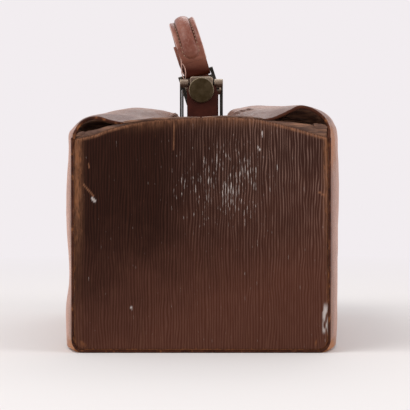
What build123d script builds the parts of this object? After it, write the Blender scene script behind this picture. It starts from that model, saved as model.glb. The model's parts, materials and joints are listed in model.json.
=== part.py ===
"""Gladstone bag: a leather box with arched end panels, soft top flaps and a hinged steel mouth.

Millimetres. X runs across the bag, Y along its length, Z up. The origin is the middle of the
underside. The near end is at -Y. The left jaw is at -X and nests under the right one.
"""

from build123d import *
from math import radians, sin
import os

# Bag body
BAG_LENGTH = 460.0
PANEL_WIDTH = 276.0
SHOULDER_HEIGHT = 234.0
CROWN_HEIGHT = 256.0
CORNER_RADIUS = 11.0
SIDE_BULGE = 18.0
BULGE_POWER = 6.0
BULGE_STOPS = (0.5, 0.75, 0.88, 1.0)
SIDE_HEIGHT = 236.0
LEATHER = 2.5
END_BOARD = 2.5
BASE_BOARD = 4.0
LINING = 1.0
PIPING_RADIUS = 1.5

# Clearances
SEAT_GAP = 0.3
PIPING_GAP = 0.1
RUNNING_GAP = 0.08
LAYER_GAP = 0.5
SLIDE_GAP = 0.4
BOARD_INSET = 4.0

# Mouth frame
HINGE_HEIGHT = 170.0
JAW_TOP = 253.0
JAW_STEEL = 2.0
JAW_PLATE_WIDTH = 58.0
JAW_WEB_DEPTH = 14.0
JAW_NEST_GAP = 1.5
JAW_LEDGE = 8.0
JAW_TONGUE = 8.0
JAW_LEG_WIDTH = 12.0
JAW_EYE_RADIUS = 9.0
COVER = 1.2
COVER_LAP = 8.0

# Mouth hinges
HINGE_PIN_RADIUS = 3.0
HINGE_HEAD_RADIUS = 6.0
HINGE_HEAD = 2.5
HINGE_PLATE_WIDTH = 40.0
HINGE_PLATE_HEIGHT = 26.0
HINGE_PLATE = 2.5
HINGE_WASHER = 0.7
HINGE_RIVET_HEAD = 3.5
HINGE_RIVET_DOME = 0.6
HINGE_RIVET_INSET = 5.0

# Top flaps and end gussets
FLAP_LEATHER = 2.5
FLAP_HALF_LENGTH = 218.0
FLAP_END_PEAK = 264.0
FLAP_TURN = 165.0
FLAP_TURN_PEAK = 272.0
FLAP_MIDDLE_PEAK = 276.0
FLAP_PEAK_X = 96.0
FLAP_SHOULDER_RISE = 17.0
FLAP_SHOULDER_INSET = 7.0
GUSSET_LEATHER = 2.2
GUSSET_BOTTOM = 186.0
GUSSET_TOP_INSET = 4.0
GUSSET_SIDE_INSET = 5.0
GUSSET_SPLIT = 1.0

# Handle brackets
BRACKET_Y = 80.0
STUD_RISE = 38.6
BARREL_RISE = 8.7
BARREL_RADIUS = 5.2
KNOB_LENGTH = 10.5
BOSS_HALF_WIDTH = 14.0
BOSS_DROP = 10.0
BOSS_CROWN = 8.0
BOSS_SHOULDER = 4.0
KNOB_GAP = 1.0
CROSS_ROD_RADIUS = 2.0
LEG_RADIUS = 1.1
LEG_INSET = 1.1
BASE_PLATE = 2.0
BASE_PLATE_DEPTH = 16.0
BASE_PLATE_OVERHANG = 3.0
TAB_WIDTH = 35.0
TAB_LEATHER = 3.0
TAB_TOP_RISE = 7.0
TAB_FOOT_DEPTH = 20.0
RIVET_RADIUS = 3.0
RIVET_DOME = 1.2
RIVET_SPACING = 20.0

# Pivot studs
STUD_RADIUS = 4.0
DISC_RADIUS = 14.8
DISC = 3.0
DISC_FILLET = 1.2
COLLAR_RADIUS = 7.0
STUD_HEAD_RADIUS = 6.5
STUD_HEAD = 3.0

# Carrying handle
HANDLE_LEAN = 18.0
HANDLE_RISE = 89.0
HANDLE_BEND = 44.0
GRIP_WIDTH = 31.0
GRIP_FLANGE = 5.0
GRIP_RIB_WIDTH = 16.0
GRIP_RIB_DEPTH = 13.0
CORE_RADIUS = 4.0
RING_PLATE = 2.6
RING_HALF_WIDTH = 19.5
RING_RISE = 22.0
RING_WIRE_RADIUS = 2.0
RING_EYE_RADIUS = 9.0
RING_BAND = 6.0
LOOP_WIDTH = 31.0
LOOP_LEATHER = 3.0

# Centre lock
LOCK_CASE_LENGTH = 37.0
LOCK_CASE_FORWARD = 15.0
LOCK_CASE_WIDTH = 26.0
LOCK_CASE_HEIGHT = 6.5
LOCK_ROOF = 1.3
LOCK_OVERHANG_GAP = 1.0
BOLT_WIDTH = 2.6
BOLT_HEIGHT = 2.6
BOLT_LENGTH = 16.0
BOLT_TRAVEL = 12.0
BOLT_GAP = 0.2
BOLT_LIFT = 0.8
STAPLE_WIDTH = 5.4
STAPLE_LENGTH = 7.0
STAPLE_ROOF = 1.3
BUTTON_WIDTH = 6.0
BUTTON_LENGTH = 7.0
BUTTON = 2.2
BUTTON_NECK = 2.0

# Side catches
CATCH_Y = 140.0
CATCH_PIVOT_X = -16.0
CATCH_PLATE = 1.6
CATCH_WIDTH = 12.0
CATCH_TIP = 4.5
CATCH_SLOT = 2.4
CATCH_SLOT_RUN_IN = 1.2
CATCH_RIVET_RADIUS = 2.4
CATCH_RIVET_HEAD = 5.0
CATCH_RIVET_DOME = 0.9
POST_RADIUS = 1.8
POST_HEAD_RADIUS = 2.8
POST_HEAD = 1.0

# Places that follow from the sizes above, as distances from the bag's middle
half_width = PANEL_WIDTH / 2
end_face = BAG_LENGTH / 2
panel_back = end_face - LEATHER
board_back = panel_back - END_BOARD
panel_bottom = 2 * PIPING_RADIUS + PIPING_GAP
side_middle = half_width + SIDE_BULGE

hinge_plate_back = board_back - HINGE_PLATE
washer_back = hinge_plate_back - HINGE_WASHER
right_leg_face = washer_back - SEAT_GAP
left_leg_face = right_leg_face - JAW_STEEL - LAYER_GAP
hinge_head_face = left_leg_face - JAW_STEEL - LAYER_GAP
gusset_face = board_back - SEAT_GAP

plate_half = JAW_PLATE_WIDTH / 2
plate_bottom = JAW_TOP - JAW_STEEL
left_bar_top = plate_bottom - JAW_NEST_GAP
left_bar_edge = plate_half + JAW_LEDGE
cover_top = JAW_TOP + COVER
ledge_top = left_bar_top + COVER
ledge_middle = -(plate_half + left_bar_edge) / 2

stud_height = cover_top + STUD_RISE
barrel_height = stud_height + BARREL_RISE
knob_start = BOSS_HALF_WIDTH + KNOB_GAP
knob_end = knob_start + KNOB_LENGTH
leg_x = knob_end - LEG_INSET
base_plate_top = cover_top + BASE_PLATE
boss_outer = BRACKET_Y + BARREL_RADIUS
boss_inner = BRACKET_Y - BARREL_RADIUS
tab_inner = boss_outer + SEAT_GAP
tab_outer = tab_inner + TAB_LEATHER
disc_inner = tab_outer + SEAT_GAP
disc_outer = disc_inner + DISC
ring_middle = boss_inner - (RING_WIRE_RADIUS + RUNNING_GAP + LOOP_LEATHER) - LAYER_GAP
ring_outer = ring_middle + RING_PLATE / 2
ring_inner = ring_middle - RING_PLATE / 2
loop_inner_radius = RING_WIRE_RADIUS + RUNNING_GAP
loop_outer_radius = loop_inner_radius + LOOP_LEATHER
grip_start = HANDLE_RISE - HANDLE_BEND


def block(x_low, x_high, y_low, y_high, z_low, z_high):
    """A box between two corners."""
    middle = Pos((x_low + x_high) / 2, (y_low + y_high) / 2, (z_low + z_high) / 2)
    return middle * Box(x_high - x_low, y_high - y_low, z_high - z_low)


def rod_x(radius, x_low, x_high, y, z):
    """A round rod along X."""
    return Pos((x_low + x_high) / 2, y, z) * Rot(0, 90, 0) * Cylinder(radius, x_high - x_low)


def rod_y(radius, y_low, y_high, x, z):
    """A round rod along Y."""
    return Pos(x, (y_low + y_high) / 2, z) * Rot(90, 0, 0) * Cylinder(radius, y_high - y_low)


def rod_z(radius, z_low, z_high, x, y):
    """A round rod along Z."""
    return Pos(x, y, (z_low + z_high) / 2) * Cylinder(radius, z_high - z_low)


def far_copy(shape):
    """The same piece at the bag's far end."""
    return mirror(shape, about=Plane.XZ)


def save(node, shape):
    export_step(shape, f"parts/{node}.step")


def save_pair(name, shape):
    """A near piece and its mirror image at the far end."""
    save(f"{name}_near", shape)
    save(f"{name}_far", far_copy(shape))


def arch_sheet(inset, top_inset, low_edge, y_face, thickness):
    """An end panel's outline, drawn in by an inset, as a sheet that goes inwards from y_face."""
    side = half_width - inset
    crown = CROWN_HEIGHT - top_inset
    shoulder = SHOULDER_HEIGHT - top_inset
    corner = max(CORNER_RADIUS - inset, LEATHER)
    low_left = Vector(-side, low_edge + corner)
    low_right = Vector(side, low_edge + corner)
    turn = corner * (1 - sin(radians(45)))
    with BuildSketch(Plane.XZ) as outline:
        with BuildLine():
            ThreePointArc((-side, shoulder), (0, crown), (side, shoulder))
            Line((side, shoulder), low_right)
            ThreePointArc(low_right, (side - turn, low_edge + turn), (side - corner, low_edge))
            Line((side - corner, low_edge), (corner - side, low_edge))
            ThreePointArc((corner - side, low_edge), (turn - side, low_edge + turn), low_left)
            Line(low_left, (-side, shoulder))
        make_face()
    return Pos(0, -y_face + thickness, 0) * extrude(outline.sketch, thickness)


def side_x(y):
    """How far the side wall's outer face stands from the middle, at one place along the bag."""
    return half_width + SIDE_BULGE * (1 - (abs(y) / panel_back) ** BULGE_POWER)


def side_curve(x_shift, y_end):
    """A side wall's plan curve, moved in from the outer face, out to y_end each way."""
    stops = [share * y_end for share in BULGE_STOPS]
    places = [-stop for stop in reversed(stops)] + [0] + stops
    return Spline([(side_x(y) - x_shift, y) for y in places])


def side_sheet(x_shift, thickness, y_end, z_low, z_high):
    """A curved upright sheet that follows the right side wall."""
    outer = side_curve(x_shift, y_end)
    inner = side_curve(x_shift + thickness, y_end)
    edges = [outer, inner, Line(outer @ 0, inner @ 0), Line(outer @ 1, inner @ 1)]
    return Pos(0, 0, z_low) * extrude(make_face(edges), z_high - z_low)


def floor_sheet(x_shift, y_end, z_low, z_high):
    """A flat sheet whose sides follow both side walls."""
    right = side_curve(x_shift, y_end)
    left = mirror(right, about=Plane.YZ)
    edges = [right, left, Line(right @ 0, left @ 0), Line(right @ 1, left @ 1)]
    return Pos(0, 0, z_low) * extrude(make_face(edges), z_high - z_low)


def make_body():
    """Leather shell, boards, linings and piping."""
    save_pair("end_panel", arch_sheet(0, 0, panel_bottom, end_face, LEATHER))
    board_bottom = LEATHER + BASE_BOARD + SEAT_GAP
    save_pair("end_board", arch_sheet(BOARD_INSET, BOARD_INSET, board_bottom, panel_back, END_BOARD))
    right_side = side_sheet(0, LEATHER, panel_back, LEATHER, SIDE_HEIGHT)
    save("side_panel_right", right_side)
    save("side_panel_left", mirror(right_side, about=Plane.YZ))
    board_end = board_back - SEAT_GAP
    floor_top = LEATHER + BASE_BOARD
    between_boards = block(-2 * half_width, 2 * half_width, -board_end, board_end, 0, SIDE_HEIGHT)
    right_lining = side_sheet(LEATHER, LINING, panel_back, floor_top, SIDE_HEIGHT - LINING) & between_boards
    save("side_lining_right", right_lining)
    save("side_lining_left", mirror(right_lining, about=Plane.YZ))
    save("bottom_leather", floor_sheet(0, panel_back, 0, LEATHER))
    base = floor_sheet(LEATHER + SEAT_GAP, panel_back, LEATHER, floor_top) & between_boards
    save("base_board", base)


def make_piping():
    """The welt round the sides and bottom of each end panel."""
    offset = PIPING_RADIUS + PIPING_GAP
    side = half_width + offset
    bend = CORNER_RADIUS + offset
    low = panel_bottom - offset
    turn = bend * (1 - sin(radians(45)))
    y = -(panel_back + PIPING_RADIUS + PIPING_GAP)
    with BuildLine(Plane.XZ.offset(-y)) as route:
        Line((-side, SHOULDER_HEIGHT), (-side, low + bend))
        ThreePointArc((-side, low + bend), (turn - side, low + turn), (bend - side, low))
        Line((bend - side, low), (side - bend, low))
        ThreePointArc((side - bend, low), (side - turn, low + turn), (side, low + bend))
        Line((side, low + bend), (side, SHOULDER_HEIGHT))
    section = Plane(route.line @ 0, z_dir=route.line % 0) * Circle(PIPING_RADIUS)
    save_pair("piping", sweep(section, path=route.line))


def flap_section(y, peak):
    """The right flap's closed outline at one place along the bag."""
    outer_x = side_x(y)
    seat = SIDE_HEIGHT + SEAT_GAP
    inner_x = plate_half + COVER + SEAT_GAP
    shoulder = (outer_x - FLAP_SHOULDER_INSET, seat + FLAP_SHOULDER_RISE)
    top = Spline((outer_x, seat), shoulder, (FLAP_PEAK_X, peak), (inner_x, JAW_TOP))
    low_seat = (outer_x - FLAP_LEATHER, seat)
    low_shoulder = (shoulder[0] - FLAP_LEATHER, shoulder[1] - FLAP_LEATHER)
    low_peak = (FLAP_PEAK_X, peak - FLAP_LEATHER)
    low_edge = (inner_x, JAW_TOP - FLAP_LEATHER)
    under = Spline(low_seat, low_shoulder, low_peak, low_edge)
    edges = [top, under, Line(top @ 0, under @ 0), Line(top @ 1, under @ 1)]
    return Plane.XZ.offset(-y) * make_face(edges)


def make_flaps():
    """The soft leather over each side, lofted through its ends, its turns and its middle."""
    sections = [flap_section(-FLAP_HALF_LENGTH, FLAP_END_PEAK)]
    sections.append(flap_section(-FLAP_TURN, FLAP_TURN_PEAK))
    sections.append(flap_section(0, FLAP_MIDDLE_PEAK))
    sections.append(flap_section(FLAP_TURN, FLAP_TURN_PEAK))
    sections.append(flap_section(FLAP_HALF_LENGTH, FLAP_END_PEAK))
    right = loft(sections)
    save("top_flap_right", right)
    flap_edge = -left_bar_edge - COVER - SEAT_GAP
    beyond = block(-side_middle, flap_edge, -end_face, end_face, 0, 2 * SIDE_HEIGHT)
    save("top_flap_left", mirror(right, about=Plane.YZ) & beyond)


def make_gussets():
    """Soft leather inside each arch, in two halves that part above the hinge."""
    whole = arch_sheet(GUSSET_SIDE_INSET, GUSSET_TOP_INSET, GUSSET_BOTTOM, gusset_face, GUSSET_LEATHER)
    right_room = block(GUSSET_SPLIT, half_width, -end_face, 0, 0, CROWN_HEIGHT)
    right = whole & right_room
    save_pair("gusset_right", right)
    save_pair("gusset_left", mirror(right, about=Plane.YZ))


def jaw_leg(face, top):
    """A jaw's upright at the near end, with its eye on the hinge pin."""
    half = JAW_LEG_WIDTH / 2
    leg = block(-half, half, -face, -face + JAW_STEEL, HINGE_HEIGHT, top)
    eye = rod_y(JAW_EYE_RADIUS, -face, -face + JAW_STEEL, 0, HINGE_HEIGHT)
    hole = rod_y(HINGE_PIN_RADIUS + RUNNING_GAP, -face - JAW_STEEL, -face + 2 * JAW_STEEL, 0, HINGE_HEIGHT)
    return leg + eye - hole


def make_jaws():
    """The two steel frames of the mouth and the leather on them."""
    reach = right_leg_face
    plate = block(-plate_half, plate_half, -reach, reach, plate_bottom, JAW_TOP)
    web = block(plate_half - JAW_STEEL, plate_half, -reach, reach, JAW_TOP - JAW_WEB_DEPTH, JAW_TOP)
    right_leg = jaw_leg(right_leg_face, JAW_TOP)
    save("jaw_right", plate + web + right_leg + far_copy(right_leg))
    skin_top = block(-plate_half, plate_half + COVER, -reach, reach, JAW_TOP, cover_top)
    skin_low = JAW_TOP - COVER_LAP
    skin_side = block(plate_half, plate_half + COVER, -reach, reach, skin_low, JAW_TOP)
    save("jaw_cover_right", skin_top + skin_side)

    reach = left_leg_face
    bar = block(-left_bar_edge, JAW_TONGUE, -reach, reach, left_bar_top - JAW_STEEL, left_bar_top)
    bar_web_low = left_bar_top - JAW_WEB_DEPTH
    bar_web = block(-left_bar_edge, JAW_STEEL - left_bar_edge, -reach, reach, bar_web_low, left_bar_top)
    left_leg = jaw_leg(left_leg_face, left_bar_top)
    save("jaw_left", bar + bar_web + left_leg + far_copy(left_leg))
    outer = -left_bar_edge - COVER
    ledge_skin = block(outer, -plate_half - SLIDE_GAP, -reach, reach, left_bar_top, ledge_top)
    ledge_side = block(outer, -left_bar_edge, -reach, reach, left_bar_top - COVER_LAP, left_bar_top)
    save("jaw_cover_left", ledge_skin + ledge_side)


def make_hinges():
    """Plates, pins, washers and rivets that carry the jaws on the end boards."""
    half = HINGE_PLATE_WIDTH / 2
    low = HINGE_HEIGHT - HINGE_PLATE_HEIGHT / 2
    high = HINGE_HEIGHT + HINGE_PLATE_HEIGHT / 2
    plate = block(-half, half, -board_back, -hinge_plate_back, low, high)
    save_pair("hinge_plate", fillet(plate.edges().filter_by(Axis.Y), HINGE_RIVET_INSET))
    head_end = hinge_head_face - HINGE_HEAD
    pin = rod_y(HINGE_PIN_RADIUS, -hinge_plate_back, -head_end, 0, HINGE_HEIGHT)
    head = rod_y(HINGE_HEAD_RADIUS, -hinge_head_face, -head_end, 0, HINGE_HEIGHT)
    save_pair("hinge_pin", pin + head)
    washer = rod_y(JAW_EYE_RADIUS, -hinge_plate_back, -washer_back, 0, HINGE_HEIGHT)
    bore = rod_y(HINGE_PIN_RADIUS + RUNNING_GAP, -board_back, -left_leg_face, 0, HINGE_HEIGHT)
    save_pair("hinge_washer", washer - bore)
    rivets = []
    for side in (-1, 1):
        x = side * (half - HINGE_RIVET_INSET)
        dome_end = hinge_plate_back - HINGE_RIVET_DOME
        rivet = rod_y(HINGE_RIVET_HEAD, -hinge_plate_back, -dome_end, x, HINGE_HEIGHT)
        rivets += [rivet, far_copy(rivet)]
    save("hinge_rivets", Compound(children=rivets))


def bracket_stirrup():
    """Base plate, two thin legs and the cross rod, in one steel piece."""
    half = leg_x + LEG_RADIUS + BASE_PLATE_OVERHANG
    depth = BASE_PLATE_DEPTH / 2
    piece = block(-half, half, -BRACKET_Y - depth, depth - BRACKET_Y, cover_top, base_plate_top)
    for side in (-1, 1):
        piece += rod_z(LEG_RADIUS, base_plate_top, barrel_height, side * leg_x, -BRACKET_Y)
    return piece + rod_x(CROSS_ROD_RADIUS, -knob_end, knob_end, -BRACKET_Y, barrel_height)


def bracket_knobs():
    """The two round brass ferrules on the ends of the cross rod."""
    knobs = []
    leg = LEG_RADIUS + RUNNING_GAP
    for side in (-1, 1):
        start = min(side * knob_start, side * knob_end)
        knob = rod_x(BARREL_RADIUS, start, start + KNOB_LENGTH, -BRACKET_Y, barrel_height)
        knob = fillet(knob.edges(), CROSS_ROD_RADIUS / 2)
        knob -= rod_x(CROSS_ROD_RADIUS + RUNNING_GAP, -knob_end, knob_end, -BRACKET_Y, barrel_height)
        knob -= rod_z(leg, barrel_height - 2 * BARREL_RADIUS, barrel_height, side * leg_x, -BRACKET_Y)
        knobs.append(knob)
    return Compound(children=knobs)


def bracket_boss():
    """The brass block in the middle of the cross rod, round-shouldered, bored for the pivot stud."""
    half = BOSS_HALF_WIDTH
    low = stud_height - BOSS_DROP
    top = barrel_height + BOSS_CROWN
    boss = block(-half, half, -boss_outer, -boss_inner, low, top)
    boss = fillet(boss.edges().filter_by(Axis.Y).sort_by(Axis.Z)[-2:], BOSS_SHOULDER)
    boss = fillet(boss.edges().group_by(Axis.Z)[-1].filter_by(Axis.X), CROSS_ROD_RADIUS)
    boss -= rod_x(CROSS_ROD_RADIUS + RUNNING_GAP, -knob_end, knob_end, -BRACKET_Y, barrel_height)
    return boss - rod_y(STUD_RADIUS + RUNNING_GAP, -disc_inner, -ring_inner, 0, stud_height)


def pivot_stud():
    """A round disc outside, the shaft and a collar that spaces the handle's ring."""
    disc = rod_y(DISC_RADIUS, -disc_outer, -disc_inner, 0, stud_height)
    disc = fillet(disc.edges().sort_by(Axis.Y)[0], DISC_FILLET)
    shaft_end = ring_inner - SEAT_GAP - STUD_HEAD
    shaft = rod_y(STUD_RADIUS, -disc_inner, -shaft_end, 0, stud_height)
    return disc + shaft


def make_brackets():
    """Everything that carries one end of the handle on the right jaw."""
    save_pair("bracket_stirrup", bracket_stirrup())
    save_pair("bracket_knobs", bracket_knobs())
    save_pair("bracket_boss", bracket_boss())
    save_pair("pivot_stud", pivot_stud())
    bore = rod_y(STUD_RADIUS + RUNNING_GAP, -disc_outer, 0, 0, stud_height)
    collar = rod_y(COLLAR_RADIUS, -boss_inner, -ring_outer - SEAT_GAP, 0, stud_height)
    save_pair("stud_collar", collar - bore)
    head_face = ring_inner - SEAT_GAP
    washer = rod_y(STUD_HEAD_RADIUS, -head_face, STUD_HEAD - head_face, 0, stud_height)
    save_pair("stud_nut", washer - bore)

    half = TAB_WIDTH / 2
    tab_top = stud_height + TAB_TOP_RISE
    foot_top = base_plate_top + TAB_LEATHER
    upright = block(-half, half, -tab_outer, -tab_inner, base_plate_top, tab_top)
    upright = fillet(upright.edges().filter_by(Axis.Y).sort_by(Axis.Z)[-2:], TAB_TOP_RISE)
    foot_end = tab_outer - TAB_FOOT_DEPTH
    foot_room = leg_x - LEG_RADIUS - SEAT_GAP
    foot_half = min(half, foot_room)
    foot = block(-foot_half, foot_half, -tab_outer, -foot_end, base_plate_top, foot_top)
    save_pair("bracket_tab", upright + foot - bore)
    heads = []
    for side in (-1, 1):
        x = side * RIVET_SPACING / 2
        head = rod_z(RIVET_RADIUS, foot_top, foot_top + RIVET_DOME, x, -BRACKET_Y)
        heads += [head, far_copy(head)]
    save("bracket_rivets", Compound(children=heads))


def leaned(shape):
    """Moves a handle piece from its upright frame to its lean on the studs."""
    return Pos(0, 0, stud_height) * Rot(0, -HANDLE_LEAN, 0) * shape


def handle_route():
    """The grip's middle line: up, over and down again, with an even bend at each corner."""
    reach = ring_middle
    turn = HANDLE_BEND * (1 - sin(radians(45)))
    top = HANDLE_RISE
    flat = reach - HANDLE_BEND
    with BuildLine(Plane.YZ) as route:
        ThreePointArc((-reach, grip_start), (turn - reach, top - turn), (-flat, top))
        Line((-flat, top), (flat, top))
        ThreePointArc((flat, top), (reach - turn, top - turn), (reach, grip_start))
    return route.line


def handle_ring():
    """A flat steel ring with an eye for the stud and a round bar for the leather loop."""
    low = -RING_EYE_RADIUS / 2
    y_low = -ring_outer
    y_high = -ring_inner
    side = RING_HALF_WIDTH
    wire = RING_WIRE_RADIUS
    ring = rod_y(RING_EYE_RADIUS, y_low, y_high, 0, 0)
    ring += block(-side - wire, side + wire, y_low, y_high, low, low + RING_BAND)
    for sign in (-1, 1):
        x = sign * side
        ring += block(x - wire, x + wire, y_low, y_high, low, RING_RISE)
    ring += rod_x(wire, -side - wire, side + wire, -ring_middle, RING_RISE)
    return ring - rod_y(STUD_RADIUS + RUNNING_GAP, y_low - 1, y_high + 1, 0, 0)


def handle_loop():
    """The leather return that wraps the ring's bar and rises to meet the grip."""
    half = LOOP_WIDTH / 2
    loop = rod_x(loop_outer_radius, -half, half, -ring_middle, RING_RISE)
    y_low = -ring_middle - LOOP_LEATHER
    strap = block(-half, half, y_low, y_low + 2 * LOOP_LEATHER, RING_RISE, grip_start)
    bore = rod_x(loop_inner_radius, -side_middle, side_middle, -ring_middle, RING_RISE)
    return loop + strap - bore


def make_handle():
    """Grip, core, returns and rings, which swing together on the studs."""
    route = handle_route()
    start = Plane(route @ 0, x_dir=(1, 0, 0), z_dir=route % 0)
    flange = RectangleRounded(GRIP_WIDTH, GRIP_FLANGE, GRIP_FLANGE / 3)
    rib = Ellipse(GRIP_RIB_WIDTH / 2, GRIP_RIB_DEPTH / 2)
    grip = sweep(start * (flange + rib), path=route)
    core = sweep(start * Circle(CORE_RADIUS), path=route)
    save("handle_core", leaned(core))
    save("handle_grip", leaned(grip - core))
    save_pair("handle_ring", leaned(handle_ring()))
    save_pair("handle_loop", leaned(handle_loop()))


def make_lock():
    """Case on the right jaw, staple on the left, and the bolt that slides through it."""
    x_high = LOCK_CASE_WIDTH - left_bar_edge - LOCK_OVERHANG_GAP
    x_low = -left_bar_edge - LOCK_OVERHANG_GAP
    y_low = LOCK_CASE_FORWARD - LOCK_CASE_LENGTH
    top = cover_top + LOCK_CASE_HEIGHT
    bolt_low = cover_top + BOLT_LIFT
    bolt_top = bolt_low + BOLT_HEIGHT
    x = ledge_middle
    half_staple = STAPLE_WIDTH / 2
    half_bolt = BOLT_WIDTH / 2
    case = block(x_low, x_high, y_low, LOCK_CASE_FORWARD, cover_top, top)
    case = fillet(case.edges().filter_by(Axis.Z), half_bolt)
    notch_half = STAPLE_LENGTH / 2 + SLIDE_GAP
    notch_top = top - LOCK_ROOF
    case -= block(x_low - 1, x + half_staple + SLIDE_GAP, -notch_half, notch_half, 0, notch_top)
    channel = half_bolt + BOLT_GAP
    channel_end = LOCK_CASE_FORWARD - LOCK_ROOF
    case -= block(x - channel, x + channel, y_low - 1, channel_end, cover_top - 1, bolt_top + BOLT_GAP)
    bolt_tip = -notch_half - SLIDE_GAP
    bolt_tail = bolt_tip - BOLT_LENGTH
    neck = BUTTON_NECK / 2
    neck_start = bolt_tail + BOLT_WIDTH
    slot_low = neck_start - BOLT_GAP
    slot_high = neck_start + BUTTON_NECK + BOLT_TRAVEL + BOLT_GAP
    case -= block(x - neck - BOLT_GAP, x + neck + BOLT_GAP, slot_low, slot_high, bolt_top, top + 1)
    save("lock_case", case)

    bolt = block(x - half_bolt, x + half_bolt, bolt_tail, bolt_tip, bolt_low, bolt_top)
    save("lock_bolt", bolt)
    button_low = top + SEAT_GAP
    stem = block(x - neck, x + neck, neck_start, neck_start + BUTTON_NECK, bolt_top, button_low)
    cap_start = neck_start + BUTTON_NECK / 2 - BUTTON_LENGTH / 2
    cap_half = BUTTON_WIDTH / 2
    cap_end = cap_start + BUTTON_LENGTH
    cap = block(x - cap_half, x + cap_half, cap_start, cap_end, button_low, button_low + BUTTON)
    cap = fillet(cap.edges().sort_by(Axis.Z)[-4:], BUTTON / 3)
    save("lock_button", stem + cap)

    staple_half = STAPLE_LENGTH / 2
    staple_top = bolt_top + BOLT_GAP + STAPLE_ROOF
    staple = block(x - half_staple, x + half_staple, -staple_half, staple_half, ledge_top, staple_top)
    hole_low = bolt_low - BOLT_GAP
    hole_top = bolt_top + BOLT_GAP
    staple -= block(x - channel, x + channel, -LOCK_CASE_LENGTH, LOCK_CASE_LENGTH, hole_low, hole_top)
    save("lock_staple", staple)


def make_catches():
    """A swivel catch near each end of the mouth, and the post that it hooks."""
    y = -CATCH_Y
    plate_low = cover_top + SEAT_GAP
    plate_top = plate_low + CATCH_PLATE
    reach = CATCH_PIVOT_X - ledge_middle
    half = CATCH_WIDTH / 2
    x = CATCH_PIVOT_X
    arm = block(x - half, x + half, y, y + reach + CATCH_TIP, plate_low, plate_top)
    arm = fillet(arm.edges().filter_by(Axis.Z).sort_by(Axis.Y)[-2:], CATCH_TIP)
    arm += rod_z(half, plate_low, plate_top, x, y)
    slot_low = y + reach - CATCH_SLOT - CATCH_SLOT_RUN_IN
    slot_high = y + reach + CATCH_SLOT
    arm -= block(x - half - 1, x + CATCH_SLOT, slot_low, slot_high, plate_low - 1, plate_top + 1)
    arm -= rod_z(CATCH_RIVET_RADIUS + RUNNING_GAP, plate_low - 1, plate_top + 1, x, y)
    save_pair("catch_arm", arm)
    head_low = plate_top + SEAT_GAP
    rivet = rod_z(CATCH_RIVET_RADIUS, cover_top, head_low, x, y)
    rivet += rod_z(CATCH_RIVET_HEAD, head_low, head_low + CATCH_RIVET_DOME, x, y)
    save_pair("catch_rivet", rivet)
    post = rod_z(POST_RADIUS, ledge_top, head_low, ledge_middle, y)
    post += rod_z(POST_HEAD_RADIUS, head_low, head_low + POST_HEAD, ledge_middle, y)
    save_pair("catch_post", post)


os.makedirs("parts", exist_ok=True)
make_body()
make_piping()
make_flaps()
make_gussets()
make_jaws()
make_hinges()
make_brackets()
make_handle()
make_lock()
make_catches()
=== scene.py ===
"""Gladstone bag: the visible leather, fittings and stage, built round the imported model."""
import json
import math
from functools import partial

import bmesh
import bpy
import numpy as np
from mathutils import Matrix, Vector


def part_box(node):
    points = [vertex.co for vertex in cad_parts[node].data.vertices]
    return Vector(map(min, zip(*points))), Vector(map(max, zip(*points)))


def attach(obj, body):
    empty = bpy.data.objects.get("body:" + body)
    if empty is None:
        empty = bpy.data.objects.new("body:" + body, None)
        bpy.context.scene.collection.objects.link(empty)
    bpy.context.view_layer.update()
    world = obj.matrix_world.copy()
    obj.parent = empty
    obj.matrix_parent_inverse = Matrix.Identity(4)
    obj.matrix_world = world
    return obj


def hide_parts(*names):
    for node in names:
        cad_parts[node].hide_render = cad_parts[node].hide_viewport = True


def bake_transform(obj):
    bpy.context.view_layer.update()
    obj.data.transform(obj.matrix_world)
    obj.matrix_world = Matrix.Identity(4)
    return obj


bl_info = {
    "name": "Gladstone bag",
    "version": (1, 0, 0),
    "blender": (4, 5, 0),
    "location": "View3D > Sidebar > Gladstone bag",
    "description": "Builds the leather, fittings and stage of a gladstone bag",
    "category": "Add Mesh",
}

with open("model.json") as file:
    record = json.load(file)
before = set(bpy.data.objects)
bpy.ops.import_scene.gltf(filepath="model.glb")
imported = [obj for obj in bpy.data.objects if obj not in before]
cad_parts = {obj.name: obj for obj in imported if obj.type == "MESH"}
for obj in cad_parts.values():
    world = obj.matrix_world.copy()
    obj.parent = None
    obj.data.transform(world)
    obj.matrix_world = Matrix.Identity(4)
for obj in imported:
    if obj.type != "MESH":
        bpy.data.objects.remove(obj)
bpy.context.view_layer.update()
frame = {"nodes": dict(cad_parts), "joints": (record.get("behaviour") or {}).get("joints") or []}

MM = 0.001
LOW, HIGH = 0, 1
X, Y, Z = 0, 1, 2
SIDES = (("left", -1), ("right", 1))
ENDS = (("near", -1), ("far", 1))


def cad_mm(node_name, corner, axis):
    """One coordinate of a CAD node's box, in millimetres."""
    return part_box(node_name)[corner][axis] / MM


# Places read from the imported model, in millimetres
HALF_WIDTH = cad_mm("end_panel_near", HIGH, X)
END_FACE = -cad_mm("end_panel_near", LOW, Y)
PANEL_BACK = -cad_mm("end_panel_near", HIGH, Y)
PANEL_BOTTOM = cad_mm("end_panel_near", LOW, Z)
RIGHT_EDGE = cad_mm("top_flap_right", LOW, X)
LEFT_EDGE = cad_mm("top_flap_left", HIGH, X)
JAW_TOP = cad_mm("jaw_right", HIGH, Z)
LEDGE_TOP = cad_mm("jaw_cover_left", HIGH, Z)

# The bag body's own sizes, in millimetres; the wall is fuller in its middle the higher the power
CORNER_RADIUS = 11.0
FOOT_RADIUS = 6.0
LEATHER = 2.2
LINING = 0.9
LINING_SLACK = 2.2
BULGE_POWER = 6


# Mesh and number tools

def in_mm(length):
    """A length from the settings in millimetres, without the noise of its single precision."""
    return round(length / MM, 4)


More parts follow.
